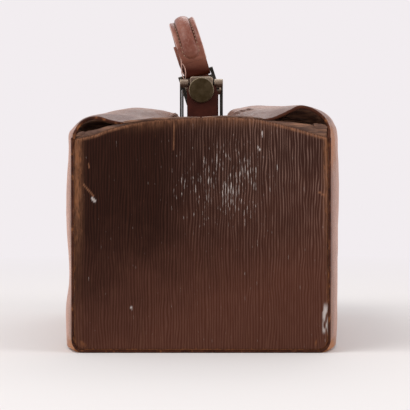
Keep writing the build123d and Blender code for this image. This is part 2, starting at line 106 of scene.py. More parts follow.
def noise(u, v, u_cell, v_cell, seed):
    """Smooth seeded noise from -1 to 1 over two coordinates, with cells in millimetres."""
    size = 512
    table = np.random.default_rng(seed).uniform(-1, 1, (size, size))
    u = np.asarray(u, float) / u_cell + size / 2
    v = np.asarray(v, float) / v_cell + size / 2
    u_low = np.floor(u).astype(int)
    v_low = np.floor(v).astype(int)
    u_part = u - u_low
    v_part = v - v_low
    u_part = u_part * u_part * (3 - 2 * u_part)
    v_part = v_part * v_part * (3 - 2 * v_part)
    u_low, u_high = u_low % size, (u_low + 1) % size
    v_low, v_high = v_low % size, (v_low + 1) % size
    near = table[u_low, v_low] * (1 - u_part) + table[u_high, v_low] * u_part
    far = table[u_low, v_high] * (1 - u_part) + table[u_high, v_high] * u_part
    return near * (1 - v_part) + far * v_part


def smooth_step(values, low, high):
    """0 below low, 1 above high and an even ease between them."""
    share = np.clip((np.asarray(values, float) - low) / (high - low), 0, 1)
    return share * share * (3 - 2 * share)


def smooth_curve(points, count):
    """A smooth curve through given points, as evenly spaced points."""
    points = np.asarray(points, float)
    padded = np.vstack([2 * points[0] - points[1], points, 2 * points[-1] - points[-2]])
    step = np.linspace(0, 1, 16, endpoint=False)[:, None]
    spans = []
    for a, b, c, d in zip(padded, padded[1:], padded[2:], padded[3:]):
        bend = (2 * a - 5 * b + 4 * c - d) * step ** 2 + (3 * b - a - 3 * c + d) * step ** 3
        spans.append(b + 0.5 * ((c - a) * step + bend))
    dense = np.vstack(spans + [points[-1:]])
    run = np.concatenate([[0], np.cumsum(np.linalg.norm(np.diff(dense, axis=0), axis=1))])
    even = np.linspace(0, run[-1], count)
    return np.stack([np.interp(even, run, column) for column in dense.T], axis=1)


def smooth_value(places, knots, values):
    """A smooth function through a few knots, read at the given places."""
    curve = smooth_curve(np.stack([knots, values], axis=1), 400)
    return np.interp(places, curve[:, 0], curve[:, 1])


def grid_faces(rows, columns, start=0, wrap=False):
    """Quads between neighbouring rows of points."""
    faces = []
    last = columns if wrap else columns - 1
    for row in range(rows - 1):
        for column in range(last):
            a = start + row * columns + column
            b = start + row * columns + (column + 1) % columns
            faces.append((a, b, b + columns, a + columns))
    return faces


def grid_rim(rows, columns):
    """The points all round a grid, in order."""
    rim = [row * columns for row in range(rows)]
    rim += [(rows - 1) * columns + column for column in range(1, columns)]
    rim += [row * columns + columns - 1 for row in range(rows - 2, -1, -1)]
    return rim + list(range(columns - 2, 0, -1))


def closed_sheet(front, back):
    """Points and faces of a sheet with thickness, from its two faces as rows of points."""
    rows, columns = front.shape[:2]
    half = rows * columns
    faces = grid_faces(rows, columns)
    faces += [face[::-1] for face in grid_faces(rows, columns, start=half)]
    rim = grid_rim(rows, columns)
    for here, there in zip(rim, rim[1:] + rim[:1]):
        faces.append((here, there, there + half, here + half))
    return np.vstack([front.reshape(-1, 3), back.reshape(-1, 3)]), faces


def directions(line):
    """Unit directions along a line of points."""
    tangent = np.gradient(line, axis=0)
    return tangent / np.linalg.norm(tangent, axis=1, keepdims=True)


def sheet_normals(grid):
    """Unit normals of a grid of points."""
    along = np.gradient(grid, axis=0)
    across = np.gradient(grid, axis=1)
    normal = np.cross(along, across)
    length = np.linalg.norm(normal, axis=2, keepdims=True)
    return normal / np.maximum(length, 1e-9)


def swept(route, side, outline):
    """Points and faces of a closed outline carried along a route, with flat ends."""
    route = np.asarray(route, float)
    tangent = directions(route)
    side = np.broadcast_to(np.asarray(side, float), route.shape)
    side = side - np.sum(side * tangent, axis=1, keepdims=True) * tangent
    side = side / np.linalg.norm(side, axis=1, keepdims=True)
    up = np.cross(side, tangent)
    outline = np.broadcast_to(outline, (len(route),) + np.shape(outline)[-2:])
    points = route[:, None] + outline[..., :1] * side[:, None] + outline[..., 1:] * up[:, None]
    rows, columns = points.shape[:2]
    faces = grid_faces(rows, columns, wrap=True)
    faces.append(tuple(range(columns - 1, -1, -1)))
    faces.append(tuple(range((rows - 1) * columns, rows * columns)))
    return points.reshape(-1, 3), faces


def rounded_outline(width, height, radius, steps=3):
    """A rounded rectangle as a closed outline."""
    points = []
    for corner_x, corner_y, start in ((1, 1, 0), (-1, 1, 90), (-1, -1, 180), (1, -1, 270)):
        for step in range(steps + 1):
            angle = math.radians(start + 90 * step / steps)
            points.append((corner_x * (width / 2 - radius) + radius * math.cos(angle),
                           corner_y * (height / 2 - radius) + radius * math.sin(angle)))
    return np.array(points)


def joined(parts):
    """Several sets of points and faces as one."""
    points, faces, start = [], [], 0
    for part_points, part_faces in parts:
        points.append(part_points)
        faces += [tuple(index + start for index in face) for face in part_faces]
        start += len(part_points)
    return np.vstack(points), faces


def on_both_faces(values):
    """Surface values of a closed sheet: the same on its front and its back."""
    return {key: np.tile(value.ravel(), 2) for key, value in values.items()}


def add_piece(name, points, faces, material, attributes=None, sharp=40):
    """Makes an object from points in millimetres, with its finish and any surface values."""
    mesh = bpy.data.meshes.new(name)
    mesh.from_pydata((points * MM).tolist(), [], faces)
    shape = bmesh.new()
    shape.from_mesh(mesh)
    bmesh.ops.recalc_face_normals(shape, faces=shape.faces)
    shape.to_mesh(mesh)
    shape.free()
    mesh.shade_smooth()
    mesh.set_sharp_from_angle(angle=math.radians(sharp))
    for key, values in (attributes or {}).items():
        layer = mesh.attributes.new(key, "FLOAT", "POINT")
        padded = np.zeros(len(mesh.vertices), np.float32)
        padded[:len(values)] = values
        layer.data.foreach_set("value", padded)
    mesh.materials.append(material)
    piece = bpy.data.objects.new(name, mesh)
    bpy.context.scene.collection.objects.link(piece)
    return piece


# Material tools

def linear(hex_colour):
    """A six-digit sRGB colour as linear red, green, blue and alpha."""
    parts = [int(hex_colour[i:i + 2], 16) / 255 for i in (0, 2, 4)]
    return tuple(c / 12.92 if c <= 0.04045 else ((c + 0.055) / 1.055) ** 2.4 for c in parts) + (1.0,)


# Each kind of shader node used here: its type, the inputs that are given, in order, the output that is read,
# and its settings
NODE_KINDS = {
    "place": ("TexCoord", (), "Object", {}),
    "facing": ("NewGeometry", (), "Normal", {}),
    "stored": ("Attribute", (), "Fac", {}),
    "rays": ("LightPath", (), "Is Camera Ray", {}),
    "stretch": ("Mapping", ("Vector", "Scale"), "Vector", {}),
    "noise": ("TexNoise", ("Vector", "Scale", "Detail", "Roughness"), "Fac", {}),
    "cells": ("TexVoronoi", ("Vector", "Scale"), "Distance", {"feature": "DISTANCE_TO_EDGE"}),
    "weave": ("TexWave", ("Vector", "Scale", "Distortion", "Detail"), "Fac", {}),
    "bevel": ("Bevel", ("Radius",), "Normal", {"samples": 6}),
    "bump": ("Bump", ("Height", "Distance", "Normal"), "Normal", {}),
    "part": ("SeparateXYZ", ("Vector",), "X", {}),
    "length": ("VectorMath", (0,), "Value", {"operation": "LENGTH"}),
    "likeness": ("VectorMath", (0, 1), "Value", {"operation": "DOT_PRODUCT"}),
    "unsigned": ("Math", (0,), 0, {"operation": "ABSOLUTE"}),
    "times": ("Math", (0, 1), 0, {"operation": "MULTIPLY"}),
    "plus": ("Math", (0, 1), 0, {"operation": "ADD"}),
    "larger": ("Math", (0, 1), 0, {"operation": "MAXIMUM"}),
    "range": ("MapRange", ("Value", "From Min", "From Max", "To Min", "To Max"), "Result", {}),
    "mix": ("Mix", ("Factor", 6, 7), 2, {"data_type": "RGBA"}),
    "glow": ("Emission", ("Color", "Strength"), 0, {}),
    "blend": ("MixShader", (0, 1, 2), 0, {}),
}


def fill(filled, inputs):
    """Sets or links the inputs of a shader node."""
    for socket, value in inputs.items():
        if isinstance(value, bpy.types.NodeSocket):
            filled.id_data.links.new(value, filled.inputs[socket])
        else:
            filled.inputs[socket].default_value = value


def node(tree, kind, *values, out=None, **settings):
    """Adds a shader node with its settings and inputs, and returns the output that is read."""
    type_name, sockets, usual_out, usual_settings = NODE_KINDS[kind]
    made = tree.nodes.new(f"ShaderNode{type_name}")
    for key, value in (usual_settings | settings).items():
        setattr(made, key, value)
    fill(made, dict(zip(sockets, values)))
    return made.outputs[usual_out if out is None else out]


def new_material(name):
    """A material; returns it with its shader, a way to add nodes and the place on the object."""
    material = bpy.data.materials.new(name)
    material.use_nodes = True
    add = partial(node, material.node_tree)
    return material, material.node_tree.nodes["Principled BSDF"], add, add("place")


def stretched_noise(add, place, sizes, detail=4.0, roughness=0.55):
    """Noise whose blobs have the given sizes in millimetres along X, Y and Z."""
    stretched = add("stretch", place, tuple(1 / (size * MM) for size in sizes))
    return add("noise", stretched, 1.0, detail, roughness)


def pebble(add, place, cell_mm):
    """Fine leather grain: small cells with sunk lines between them."""
    return add("range", add("cells", place, 1 / (cell_mm * MM)), 0.0, 0.25)


def leather(name, shades, roughness, grain_mm, grain_depth, patch_mm=60):
    """Waxed cowhide: uneven dye over patches, fine pebbled grain and a soft wax shine."""
    material, shader, add, place = new_material(name)
    dark, mid, light = (linear(shade) for shade in shades)
    patches = stretched_noise(add, place, (patch_mm, patch_mm, patch_mm), 5.0)
    mottle = stretched_noise(add, place, (6, 6, 6), 5.0)
    colour = add("mix", add("range", patches, 0.35, 0.65), dark, mid)
    colour = add("mix", add("range", mottle, 0.5, 0.85, 0.0, 0.55), colour, light)
    fill(shader, {
        "Base Color": colour,
        "Roughness": add("range", mottle, 0.3, 0.7, roughness - 0.06, roughness + 0.08),
        "Normal": add("bump", pebble(add, place, grain_mm), grain_depth * MM),
    })
    return material, shader, add, place, colour


# Finishes

def straight_grain_leather(colours):
    """Straight-grain calf, waxed and old, edges bare tan; painted shade in the valleys, painted light on the
    ridges.
    """
    material, shader, add, place = new_material("pressed_straight_grain_calf")
    ridge = add("stored", attribute_name="grain")
    along, height = add("part", place, out="X"), add("part", place, out="Z")
    patches = stretched_noise(add, place, (60, 60, 50), 4.0)
    # fading here is a painted light gradient: darker at the upper left, lighter towards the right and the
    # bottom, broken up by random patches
    fading = add("plus", add("times", along, 3.0), 1.28)
    fading = add("plus", fading, add("times", height, -7.2))
    fading = add("plus", fading, add("range", patches, 0.3, 0.7, -0.18, 0.18))
    # Painted highlight zone, to the right and high up: there the valleys are painted lighter and the ridge
    # tops pale
    ridge_highlight_zone = add("times", add("range", along, -0.05, 0.06), add("range", height, 0.08, 0.19))
    # Painted shade: the ridge valleys are painted darker than the ridge tops, which carry the leather's own
    # colour
    valley = add("mix", fading, linear("21100a"), linear("4b291e"))
    valley = add("mix", add("times", ridge_highlight_zone, 0.7), valley, linear("3f261f"))
    top = add("mix", fading, linear("331a12"), colours["panel"])
    colour = add("mix", add("range", ridge, 0.05, 0.85), valley, top)
    # painted highlight on the ridge tops
    painted_crest_highlight = add("times", ridge_highlight_zone, add("range", ridge, 0.5, 0.9, 0.0, 0.6))
    colour = add("mix", painted_crest_highlight, colour, linear("8b6c61"))
    streak = stretched_noise(add, place, (1.6, 1.6, 30), 3.0)
    # the streaks weaken where the painted light gradient is dark
    streak = add("times", add("range", streak, 0.55, 0.8, 0, 0.25), add("range", fading, 0.0, 0.5, 0.3, 1.0))
    colour = add("mix", streak, colour, linear("74503f"))
    fleck = stretched_noise(add, place, (2.5, 2.5, 8), 4.0)
    rubbed = add("plus", add("stored", attribute_name="rim"), fleck)
    colour = add("mix", add("range", rubbed, 0.7, 1.3, 0.0, 0.95), colour, colours["worn"])
    # Painted glints: short pale dashes on the ridge tops, gathered in the shine spot
    painted_glint = stretched_noise(add, place, (0.8, 0.8, 9), 1.5)
    painted_glint = add("plus", painted_glint, add("times", add("stored", attribute_name="shine"), 0.21))
    painted_glint = add("times", add("range", painted_glint, 0.735, 0.82), add("range", ridge, 0.3, 0.7))
    colour = add("mix", painted_glint, colour, linear("b3a8a3"))
    colour = add("mix", add("stored", attribute_name="scuff"), colour, linear("b9afab"))
    hairs = stretched_noise(add, place, (1.4, 1.4, 7), 3.0)
    bare = add("times", add("stored", attribute_name="scratch"), add("range", hairs, 0.35, 0.62, 0.4, 1.15))
    colour = add("mix", bare, colour, linear("9a6a4e"))
    fill(shader, {
        "Base Color": colour,
        "Roughness": add("range", ridge, 0.0, 1.0, 0.6, 0.45),
        "Specular IOR Level": 0.06,
        "Normal": add("bump", pebble(add, place, 0.8), 0.03 * MM),
    })
    return material


def side_leather(colours):
    """Waxed side and top hide: pale bloom seen aslant, tan where it bends, painted shade in folds and over
    the top.
    """
    material, shader, add, place, colour = leather(
        "waxed_side_hide", ("583527", "764d3d", "8f6757"), 0.36, 0.9, 0.05)
    height = add("part", place, out="Z")
    lines = stretched_noise(add, place, (60, 2.2, 50), 2.5)
    pressed = add("range", height, 0.225, 0.255, 1.0, 0.25)
    shown = add("times", add("range", lines, 0.4, 0.7, 0.0, 0.5), pressed)
    colour = add("mix", shown, colour, linear("93695a"))
    colour = add("mix", add("range", height, 0.24, 0.262, 0.0, 0.8), colour, linear("55433d"))
    seam = add("stored", attribute_name="seam")
    strip = add("mix", add("range", lines, 0.4, 0.6), linear("5b3524"), linear("93654f"))
    colour = add("mix", add("times", seam, 0.85), colour, strip)
    fleck = stretched_noise(add, place, (4, 4, 9), 4.0)
    rubbed = add("plus", add("stored", attribute_name="rim"), fleck)
    colour = add("mix", add("range", rubbed, 0.75, 1.25), colour, colours["worn"])
    # The painted shade: dark brown in the folds, under the bound edges and over the top
    fold = add("stored", attribute_name="fold")
    colour = add("mix", fold, colour, linear("4e2c20"))
    colour = add("mix", add("stored", attribute_name="scuff"), colour, linear("cfc6c1"))
    dull = add("larger", fold, add("times", seam, 0.8))
    dull = add("larger", dull, add("range", rubbed, 0.75, 1.15))
    pores = add("bump", pebble(add, place, 0.9), 0.04 * MM)
    fill(shader, {
        "Base Color": colour,
        "Specular IOR Level": add("range", dull, 0.0, 1.0, 0.45, 0.1),
        "Sheen Weight": add("range", dull, 0.0, 1.0, 1.0, 0.05),
        "Sheen Roughness": 0.35,
        "Sheen Tint": linear("f8cab8"),
        "Normal": add("bump", add("times", lines, pressed), 0.25 * MM, pores),
    })
    return material


def worn_edge_leather(colours):
    """Bound edges and welts: dye rubbed through to bare tan hide along the outside."""
    material, shader, add, place, colour = leather(
        "rubbed_edge_hide", ("2c120a", "4b2719", "704530"), 0.5, 0.7, 0.04, 25)
    worn = stretched_noise(add, place, (7, 7, 14), 5.0)
    colour = add("mix", add("range", worn, 0.56, 0.75, 0.0, 0.85), colour, colours["worn"])
    fill(shader, {"Base Color": colour, "Specular IOR Level": 0.1})
    return material


def gusset_leather():
    """Thin dark lining hide, folded so often that its creases have gone pale."""
    material, shader, add, place, colour = leather(
        "folded_skiver", ("46332d", "66483b", "8f6b5a"), 0.55, 0.8, 0.06, 30)
    crease = stretched_noise(add, place, (30, 12, 3), 4.0)
    colour = add("mix", add("range", crease, 0.46, 0.66, 0, 0.85), colour, linear("9a7058"))
    fill(shader, {"Base Color": colour, "Specular IOR Level": 0.25})
    return material


def tab_leather():
    """Smooth bridle strap, dark red brown, kept from wear behind the disc."""
    material, shader, _, _, _ = leather(
        "smooth_bridle_strap", ("3a170f", "451d14", "55291e"), 0.55, 0.7, 0.02, 20)
    fill(shader, {"Specular IOR Level": 0.12})
    return material


def handle_leather():
    """Hand-worn bridle grip: pale at worn edges, dark at the rings, painted shade in the groove, painted
    highlight on the rib.
    """
    material, shader, add, place, colour = leather(
        "hand_polished_bridle", ("733d2e", "8f5a49", "b08578"), 0.34, 0.8, 0.03, 22)
    height = add("part", place, out="Z")
    colour = add("mix", add("range", height, 0.342, 0.328, 0.0, 0.75), colour, linear("73402c"))
    colour = add("mix", add("range", height, 0.333, 0.317), colour, linear("3b150b"))
    # painted shade in the stitch groove
    colour = add("mix", add("stored", attribute_name="groove"), colour, linear("2a130d"))
    pale = stretched_noise(add, place, (3, 5, 12), 4.0)
    edge = add("plus", add("stored", attribute_name="rim"), pale)
    # pale where the edges are worn, and on the rib top, where the paleness is a painted highlight
    colour = add("mix", add("range", edge, 0.8, 1.3), colour, linear("c79f92"))
    gloss = add("range", height, 0.335, 0.316, 0.3, 0.06)
    fill(shader, {"Base Color": colour, "Specular IOR Level": gloss})
    return material


def waxed_thread():
    """Waxed linen thread: twisted, tan and slightly shiny."""
    material, shader, add, place = new_material("waxed_linen_thread")
    twist = stretched_noise(add, place, (0.8, 0.8, 0.8), 2.0)
    colour = add("mix", twist, linear("7c5a44"), linear("b08d74"))
    fill(shader, {"Base Color": colour, "Roughness": 0.6})
    return material


def pulp_board():
    """Pressed pulp board: grey brown with loose fibres, quite dull."""
    material, shader, add, place = new_material("pressed_pulp_board")
    fibres = stretched_noise(add, place, (6, 6, 1.5), 6.0)
    colour = add("mix", fibres, linear("6b5a48"), linear("93806a"))
    fill(shader, {"Base Color": colour, "Roughness": 0.85, "Normal": add("bump", fibres, 0.1 * MM)})
    return material


def lining_cloth():
    """Cotton drill lining; its 0.6 mm threads are drawn at 1.5 mm so that the weave shows."""
    material, shader, add, place = new_material("cotton_drill_lining")
    thread = 1.5
    bands_per_scale = 3.18
    scale = 1 / (thread * MM * bands_per_scale)
    warp, weft = (add("weave", place, scale, 1.0, 1.0, bands_direction=way) for way in "YZ")
    weave = add("times", warp, weft)
    stain = stretched_noise(add, place, (60, 60, 60), 4.0)
    cloth = add("mix", add("range", stain, 0.3, 0.7), linear("8a7656"), linear("a38f6c"))
    fill(shader, {
        "Base Color": add("mix", add("range", weave, 0.0, 0.5, 0.35, 0.0), cloth, linear("5c4c36")),
        "Roughness": 0.9,
        "Sheen Weight": 0.3,
        "Normal": add("bump", weave, 0.15 * MM),
    })
    return material


def edge_wear(add, radius_mm, noise_value):
    """1 along sharp edges, broken up by noise, and 0 on flat faces."""
    same = add("likeness", add("bevel", radius_mm * MM), add("facing"))
    return add("times", add("range", same, 0.99, 0.8), add("range", noise_value, 0.35, 0.6, 0.3, 1.0))


def metal(name, shades, roughness, wear_mm=0.6, turned=None):
    """Old metal: a dull skin, rough in its pits, rubbed on its edges, with a painted highlight where its face
    turns a given way.
    """
    material, shader, add, place = new_material(name)
    dark, dull, rubbed = (linear(shade) for shade in shades)
    pits = stretched_noise(add, place, (1.4, 1.4, 1.4), 5.0)
    cloud = stretched_noise(add, place, (9, 9, 9), 4.0)
    skin = add("mix", add("range", cloud, 0.35, 0.7), dark, dull)
    skin = add("mix", edge_wear(add, wear_mm, pits), skin, rubbed)
    # painted highlight: the rubbed colour where the face turns the given way
    if turned:
        axis, start, end, share = turned
        part = add("unsigned", add("part", add("facing"), out=axis))
        skin = add("mix", add("range", part, start, end, 0.0, share), skin, rubbed)
    fill(shader, {
        "Base Color": skin,
        "Metallic": 1.0,
        "Roughness": add("range", pits, 0.3, 0.7, roughness - 0.1, roughness + 0.12),
        "Normal": add("bump", pits, 0.04 * MM),
    })
    return material


def build_finishes(colours):
    """Every finish of the bag by a short name."""
    return {
        "panel": straight_grain_leather(colours),
        "side": side_leather(colours),
        "edge": worn_edge_leather(colours),
        "gusset": gusset_leather(),
        "tab": tab_leather(),
        "handle": handle_leather(),
        "thread": waxed_thread(),
        "board": pulp_board(),
        "lining": lining_cloth(),
        # Steel under black japan: nearly black, with a grey line where an edge has rubbed bare
        "frame_steel": metal("japanned_steel", ("1c1a18", "2b2724", "8a8178"), 0.45),
        # Browned steel: a dark grey skin with a dull shine, bright along its edges
        "dark_steel": metal("browned_steel", ("2a2824", "423f3a", "a8a49a"), 0.38),
        # Cast brass left to tarnish: olive brown, with a painted highlight where its faces turn away from
        # front and back
        "brass": metal("tarnished_brass", ("3a2f1e", "504432", "a99c84"), 0.42, 0.6, ("Y", 0.98, 0.7, 0.5)),
        # The same brass on the knobs and bosses, paler where its faces turn up or down: a painted highlight
        "worn_brass": metal("rubbed_brass", ("6b5b4e", "8f7f6e", "d3c7b4"), 0.4, 1.2, ("Z", 0.3, 1.0, 0.5)),
    }


FINISH_NAMES = {}


def finish(name):
    """A finish that has been built."""
    return bpy.data.materials[FINISH_NAMES[name]]


# Shapes shared by more than one piece

ARCH = ((-138, 232.5), (-117, 237.2), (-101, 243), (-84, 247.6), (-66, 251), (-50, 253), (-20, 255),
        (10, 255.8), (38, 255.8), (62, 253.8), (84.6, 248.9), (103, 244.2), (122, 238.6), (138, 234.3))


def arch_height(x):
    """The end panel's top edge."""
    places, heights = zip(*ARCH)
    return smooth_value(x, places, heights)


def corner_rise(x):
    """How far a rounded lower corner lifts the panel's bottom edge."""
    inward = np.clip(np.abs(x) - (HALF_WIDTH - CORNER_RADIUS), 0, CORNER_RADIUS)
    return CORNER_RADIUS - np.sqrt(CORNER_RADIUS ** 2 - inward ** 2)


def wall_fullness(y):
    """How much of its full swell the side wall has, along the bag."""
    return 1 - np.minimum(np.abs(y) / PANEL_BACK, 1) ** BULGE_POWER


SWELL_HEIGHTS = (0, 7, 20, 41, 82, 135, 197, 218, 236)
SWELL = {"left": (16, 17, 21.5, 17, 12.5, 17, 16, 13.5, 9.5),
         "right": (16.4, 17.4, 18.4, 19.6, 20.5, 20, 19.2, 18.8, 17.5)}


def wall_x(side, y, z):
    """The side wall's distance from the middle."""
    swell = smooth_value(z, SWELL_HEIGHTS, SWELL[side])
    return HALF_WIDTH + swell * wall_fullness(y)


# Each flap's outline from the shoulder to the jaw as (x, z), at a few distances from the bag's middle
FLAP_STATIONS = {"right": (0, 150, 195, 224), "left": (0, 55, 150, 190, 224)}
FLAP_OUTLINES = {
    "right": (
        ((156, 243), (153.5, 252), (147, 261), (134, 268.5), (113, 274.5), (90, 277.5), (66, 278.6),
         (47, 275.2), (33, 269.5), (RIGHT_EDGE, JAW_TOP + 0.5)),
        ((153.8, 242), (151, 250), (145.5, 258.5), (134, 266.3), (115, 272), (94, 272.5), (74, 271.5),
         (53, 271), (34.5, 266.5), (RIGHT_EDGE, JAW_TOP + 0.5)),
        ((148, 242), (146.3, 249.5), (141, 258), (130, 265.5), (112, 270.5), (94, 268.5), (78, 264),
         (60, 260.5), (44, 257), (RIGHT_EDGE, JAW_TOP)),
        ((139.8, 240), (139.2, 248), (134.5, 255.5), (125.5, 263.2), (109.8, 269), (94.5, 263), (79, 256),
         (62, 253.5), (46, 253), (RIGHT_EDGE, JAW_TOP - 0.5)),
    ),
    "left": (
        ((147.5, 241), (145.5, 248.5), (140.5, 256), (131, 262), (114, 266), (98, 270), (76, 275),
         (55, 273.5), (43, 270), (37.5, 264), (37.3, 257), (-LEFT_EDGE, LEDGE_TOP)),
        ((148, 240.5), (145.3, 247.5), (140, 255), (130.5, 260.5), (114, 264), (97, 268.5), (75, 273.5),
         (51, 272), (34, 268.3), (27.5, 265), (32, 260), (-LEFT_EDGE, LEDGE_TOP)),
        ((148.5, 239.5), (145, 246), (139.5, 253), (130, 258.5), (114, 261.7), (95, 266), (74, 269),
         (50, 267), (35, 264.2), (28.5, 262), (39.8, 258.4), (-LEFT_EDGE + 0.3, LEDGE_TOP)),
        ((147, 238.5), (142.5, 245.5), (136.5, 252), (128, 257.3), (114, 260.3), (98, 261), (78, 259.5),
         (58, 256.5), (46, 255), (39, 254), (38, 252.5), (-LEFT_EDGE, LEDGE_TOP)),
        ((139.6, 237.5), (136.8, 242.2), (132.2, 249.7), (124.8, 254.8), (113.8, 257), (101.5, 253.8),
         (88, 250.8), (70, 250), (52, 250), (45, 250.2), (41, 250.3), (-LEFT_EDGE, LEDGE_TOP - 0.5)),
    ),
}
# A crease across the near right flap, from (x, y) to (x, y), in millimetres
FLAP_CREASE = ((36, -181), (60, -171))
# The height where a side's edge leaves the end panel's seam, how far it is drawn in above that, and the
# length of its outline from under the bag to the jaw
SEAM_TOP = 232.0
EDGE_PULL = 5.0
GIRTH = 380.0


def flap_outline(side, y):
    """The flap's outline points at one place along the bag."""
    tracks = np.array(FLAP_OUTLINES[side]).transpose(1, 2, 0)
    return np.array([[smooth_value(abs(y), FLAP_STATIONS[side], track) for track in point]
                     for point in tracks])


def edge_pull(z):
    """How far a side's free edge is drawn in towards the middle of the bag."""
    return EDGE_PULL * smooth_step(z, SEAM_TOP, SEAM_TOP + 14)


def girth(side, y, count):
    """The side leather's outline from under the bag to the jaw, at one place along the bag."""
    foot = float(wall_x(side, y, FOOT_RADIUS)) - FOOT_RADIUS
    turns = np.radians((0, 22, 45, 68, 90))
    corner = np.stack([foot + FOOT_RADIUS * np.sin(turns), FOOT_RADIUS * (1 - np.cos(turns))], axis=1)
    heights = np.array((40, 80, 130, 180, 218))
    wall = np.stack([wall_x(side, y, heights), heights], axis=1)
    return smooth_curve(np.vstack([corner, wall, flap_outline(side, y)]), count)


# Places of single marks on the near end panel, from (x, z) to (x, z) with a width, in millimetres
SILVER_MARKS = (((-118, 168), (-115, 165), 1.8), ((66, 241), (66.5, 236), 0.8), ((62, 223), (64.5, 220), 0.9),
                ((-76.5, 50.5), (-75, 48.5), 1.2))
TAN_MARKS = (((-128, 184), (-117, 171), 1.1), ((-29.3, 252), (-29.6, 221), 0.9),
             ((-122, 206), (-121.5, 201), 0.8), ((128, 175), (134, 171), 1.3))

# The spot on the ridge tops where painted glints gather: its middle (x, z) and its reach, in millimetres
SHINE_SPOT = ((30, 188), (50, 46))


def mark_strength(x, z, marks):
    """How much of a mark covers each point."""
    strength = np.zeros_like(x)
    for start, end, width in marks:
        run = np.subtract(end, start)
        share = np.clip(((x - start[0]) * run[0] + (z - start[1]) * run[1]) / (run @ run), 0, 1)
        away = np.hypot(x - start[0] - share * run[0], z - start[1] - share * run[1])
        strength = np.maximum(strength, 1 - smooth_step(away, width * 0.4, width))
    return strength


def rib_height(x, z, seed, pitch):
    """Pressed straight grain: wavy upright ridges that fork, fade and start again."""
    drift = 0.46 * noise(x, z, 8.5, 38, seed) + 0.2 * noise(x, z, 4.5, 15, seed + 1)
    ridge = 0.5 + 0.5 * np.cos(2 * math.pi * (x / pitch + drift))
    fading = 0.88 + 0.22 * noise(x, z, 3.1, 12, seed + 2)
    return ridge * np.clip(fading, 0, 1)


def panel_values(end, x, z, inside, below_arch, seed):
    """Surface values of an end panel: worn rims and bands, the spot of painted glints and single marks."""
    fleck = 0.5 + 0.5 * noise(x, z, 5, 11, seed + 7)
    worn = 0.45 * np.exp(-(inside / 1.5) ** 2) * (below_arch > 3)
    outward = smooth_step(np.abs(x), 45, 105)
    tan_line = (0.45 + 0.3 * fleck) * (0.7 + 0.3 * outward) * np.exp(-((below_arch - 1.9) / 1.6) ** 2)
    middle_line = 0.42 * (0.5 + 0.5 * fleck) * (1 - outward) * np.exp(-(below_arch / 8) ** 2)
    tan_line = np.maximum(tan_line, middle_line)
    left_band = (1 - smooth_step(x, -135, -124)) * (0.12 + 0.88 * smooth_step(z, 70, 190))
    right_band = smooth_step(x, 129, 137) * (0.12 + 0.88 * smooth_step(z, 90, 200))
    feet = 1 - smooth_step(np.hypot(np.abs(x) - 134, z - 6), 4, 18)
    worn = np.maximum(worn, 0.4 * np.maximum(left_band, right_band) * (0.6 + 0.4 * fleck))
    tan_line = np.maximum(tan_line, 0.6 * np.maximum(left_band, 0.8 * right_band) * (0.7 + 0.3 * fleck))
    worn = np.maximum(worn, 0.4 * fleck * feet) * smooth_step(below_arch, 0.3, 1.4)
    (spot_x, spot_z), (spot_width, spot_height) = SHINE_SPOT
    spot = np.exp(-((x - spot_x) / spot_width) ** 2 - ((z - spot_z) / spot_height) ** 2)
    spot = spot * (0.8 + 0.5 * noise(x, z, 16, 22, seed + 10))
    silver = np.zeros_like(x)
    scratch = np.zeros_like(x)
    if end == "near":
        frayed = smooth_step(x, 131, 133.5) * smooth_step(z, 20, 25) * (1 - smooth_step(z, 48, 56))
        frayed = frayed * smooth_step(noise(x, z, 2.2, 6, 303), -0.3, 0.1)
        silver = np.maximum(mark_strength(x, z, SILVER_MARKS), frayed)
        scratch = mark_strength(x, z, TAN_MARKS)
    scratch = np.maximum(0.7 * scratch, tan_line)
    return {"rim": worn, "shine": spot, "scuff": silver, "scratch": scratch}


def build_panel(end, sign, sizes):
    """An end panel: pressed ridges, rolled edges and a slight belly."""
    columns = np.linspace(-HALF_WIDTH, HALF_WIDTH, 395)
    edge_steps = np.array((0, 0.5, 1.1, 1.8, 2.6))
    low = PANEL_BOTTOM + corner_rise(columns)
    high = arch_height(columns)
    inner = np.linspace(0, 1, 116)[1:-1, None]
    between = low + edge_steps[-1] + inner * (high - low - 2 * edge_steps[-1])
    z = np.vstack([low + edge_steps[:, None], between, high - edge_steps[::-1, None]])
    x = np.broadcast_to(columns, z.shape)
    middle_x = HALF_WIDTH - CORNER_RADIUS
    middle_z = PANEL_BOTTOM + CORNER_RADIUS
    inside = CORNER_RADIUS - np.hypot(np.maximum(np.abs(x) - middle_x, 0), np.maximum(middle_z - z, 0))
    inside = np.minimum(inside, high - z)
    seed = 11 if end == "near" else 51
    ridge = rib_height(x, z, seed, in_mm(sizes.rib_pitch))
    out = in_mm(sizes.rib_depth) * ridge * smooth_step(inside, 0.3, 2.5)
    out += 1.1 * (1 - (x / HALF_WIDTH) ** 2) + 0.5 * noise(x, z, 70, 60, seed + 5)
    out -= 1.5 * (1 - smooth_step(inside, -0.6, 2.2))
    front = np.stack([x, sign * (END_FACE + out), z], axis=2)
    rim = grid_rim(*z.shape)
    front = front.reshape(-1, 3)
    back = front[rim].copy()
    back[:, 1] = sign * PANEL_BACK
    start = len(front)
    ring = list(range(start, start + len(rim)))
    faces = grid_faces(*z.shape)
    for index, here in enumerate(rim):
        after = (index + 1) % len(rim)
        faces.append((here, rim[after], ring[after], ring[index]))
    faces.append(tuple(ring))
    values = panel_values(end, x, z, inside, high - z, seed)
    values = {key: value.ravel() for key, value in ({"grain": ridge} | values).items()}
    points = np.vstack([front, back])
    piece = add_piece(f"end_leather_{end}", points, faces, finish("panel"), values)
    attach(piece, "root")
    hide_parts(f"end_panel_{end}")


def blend_to_jaw(piece):
    """Bakes a soft piece's place into its points."""
    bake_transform(piece)


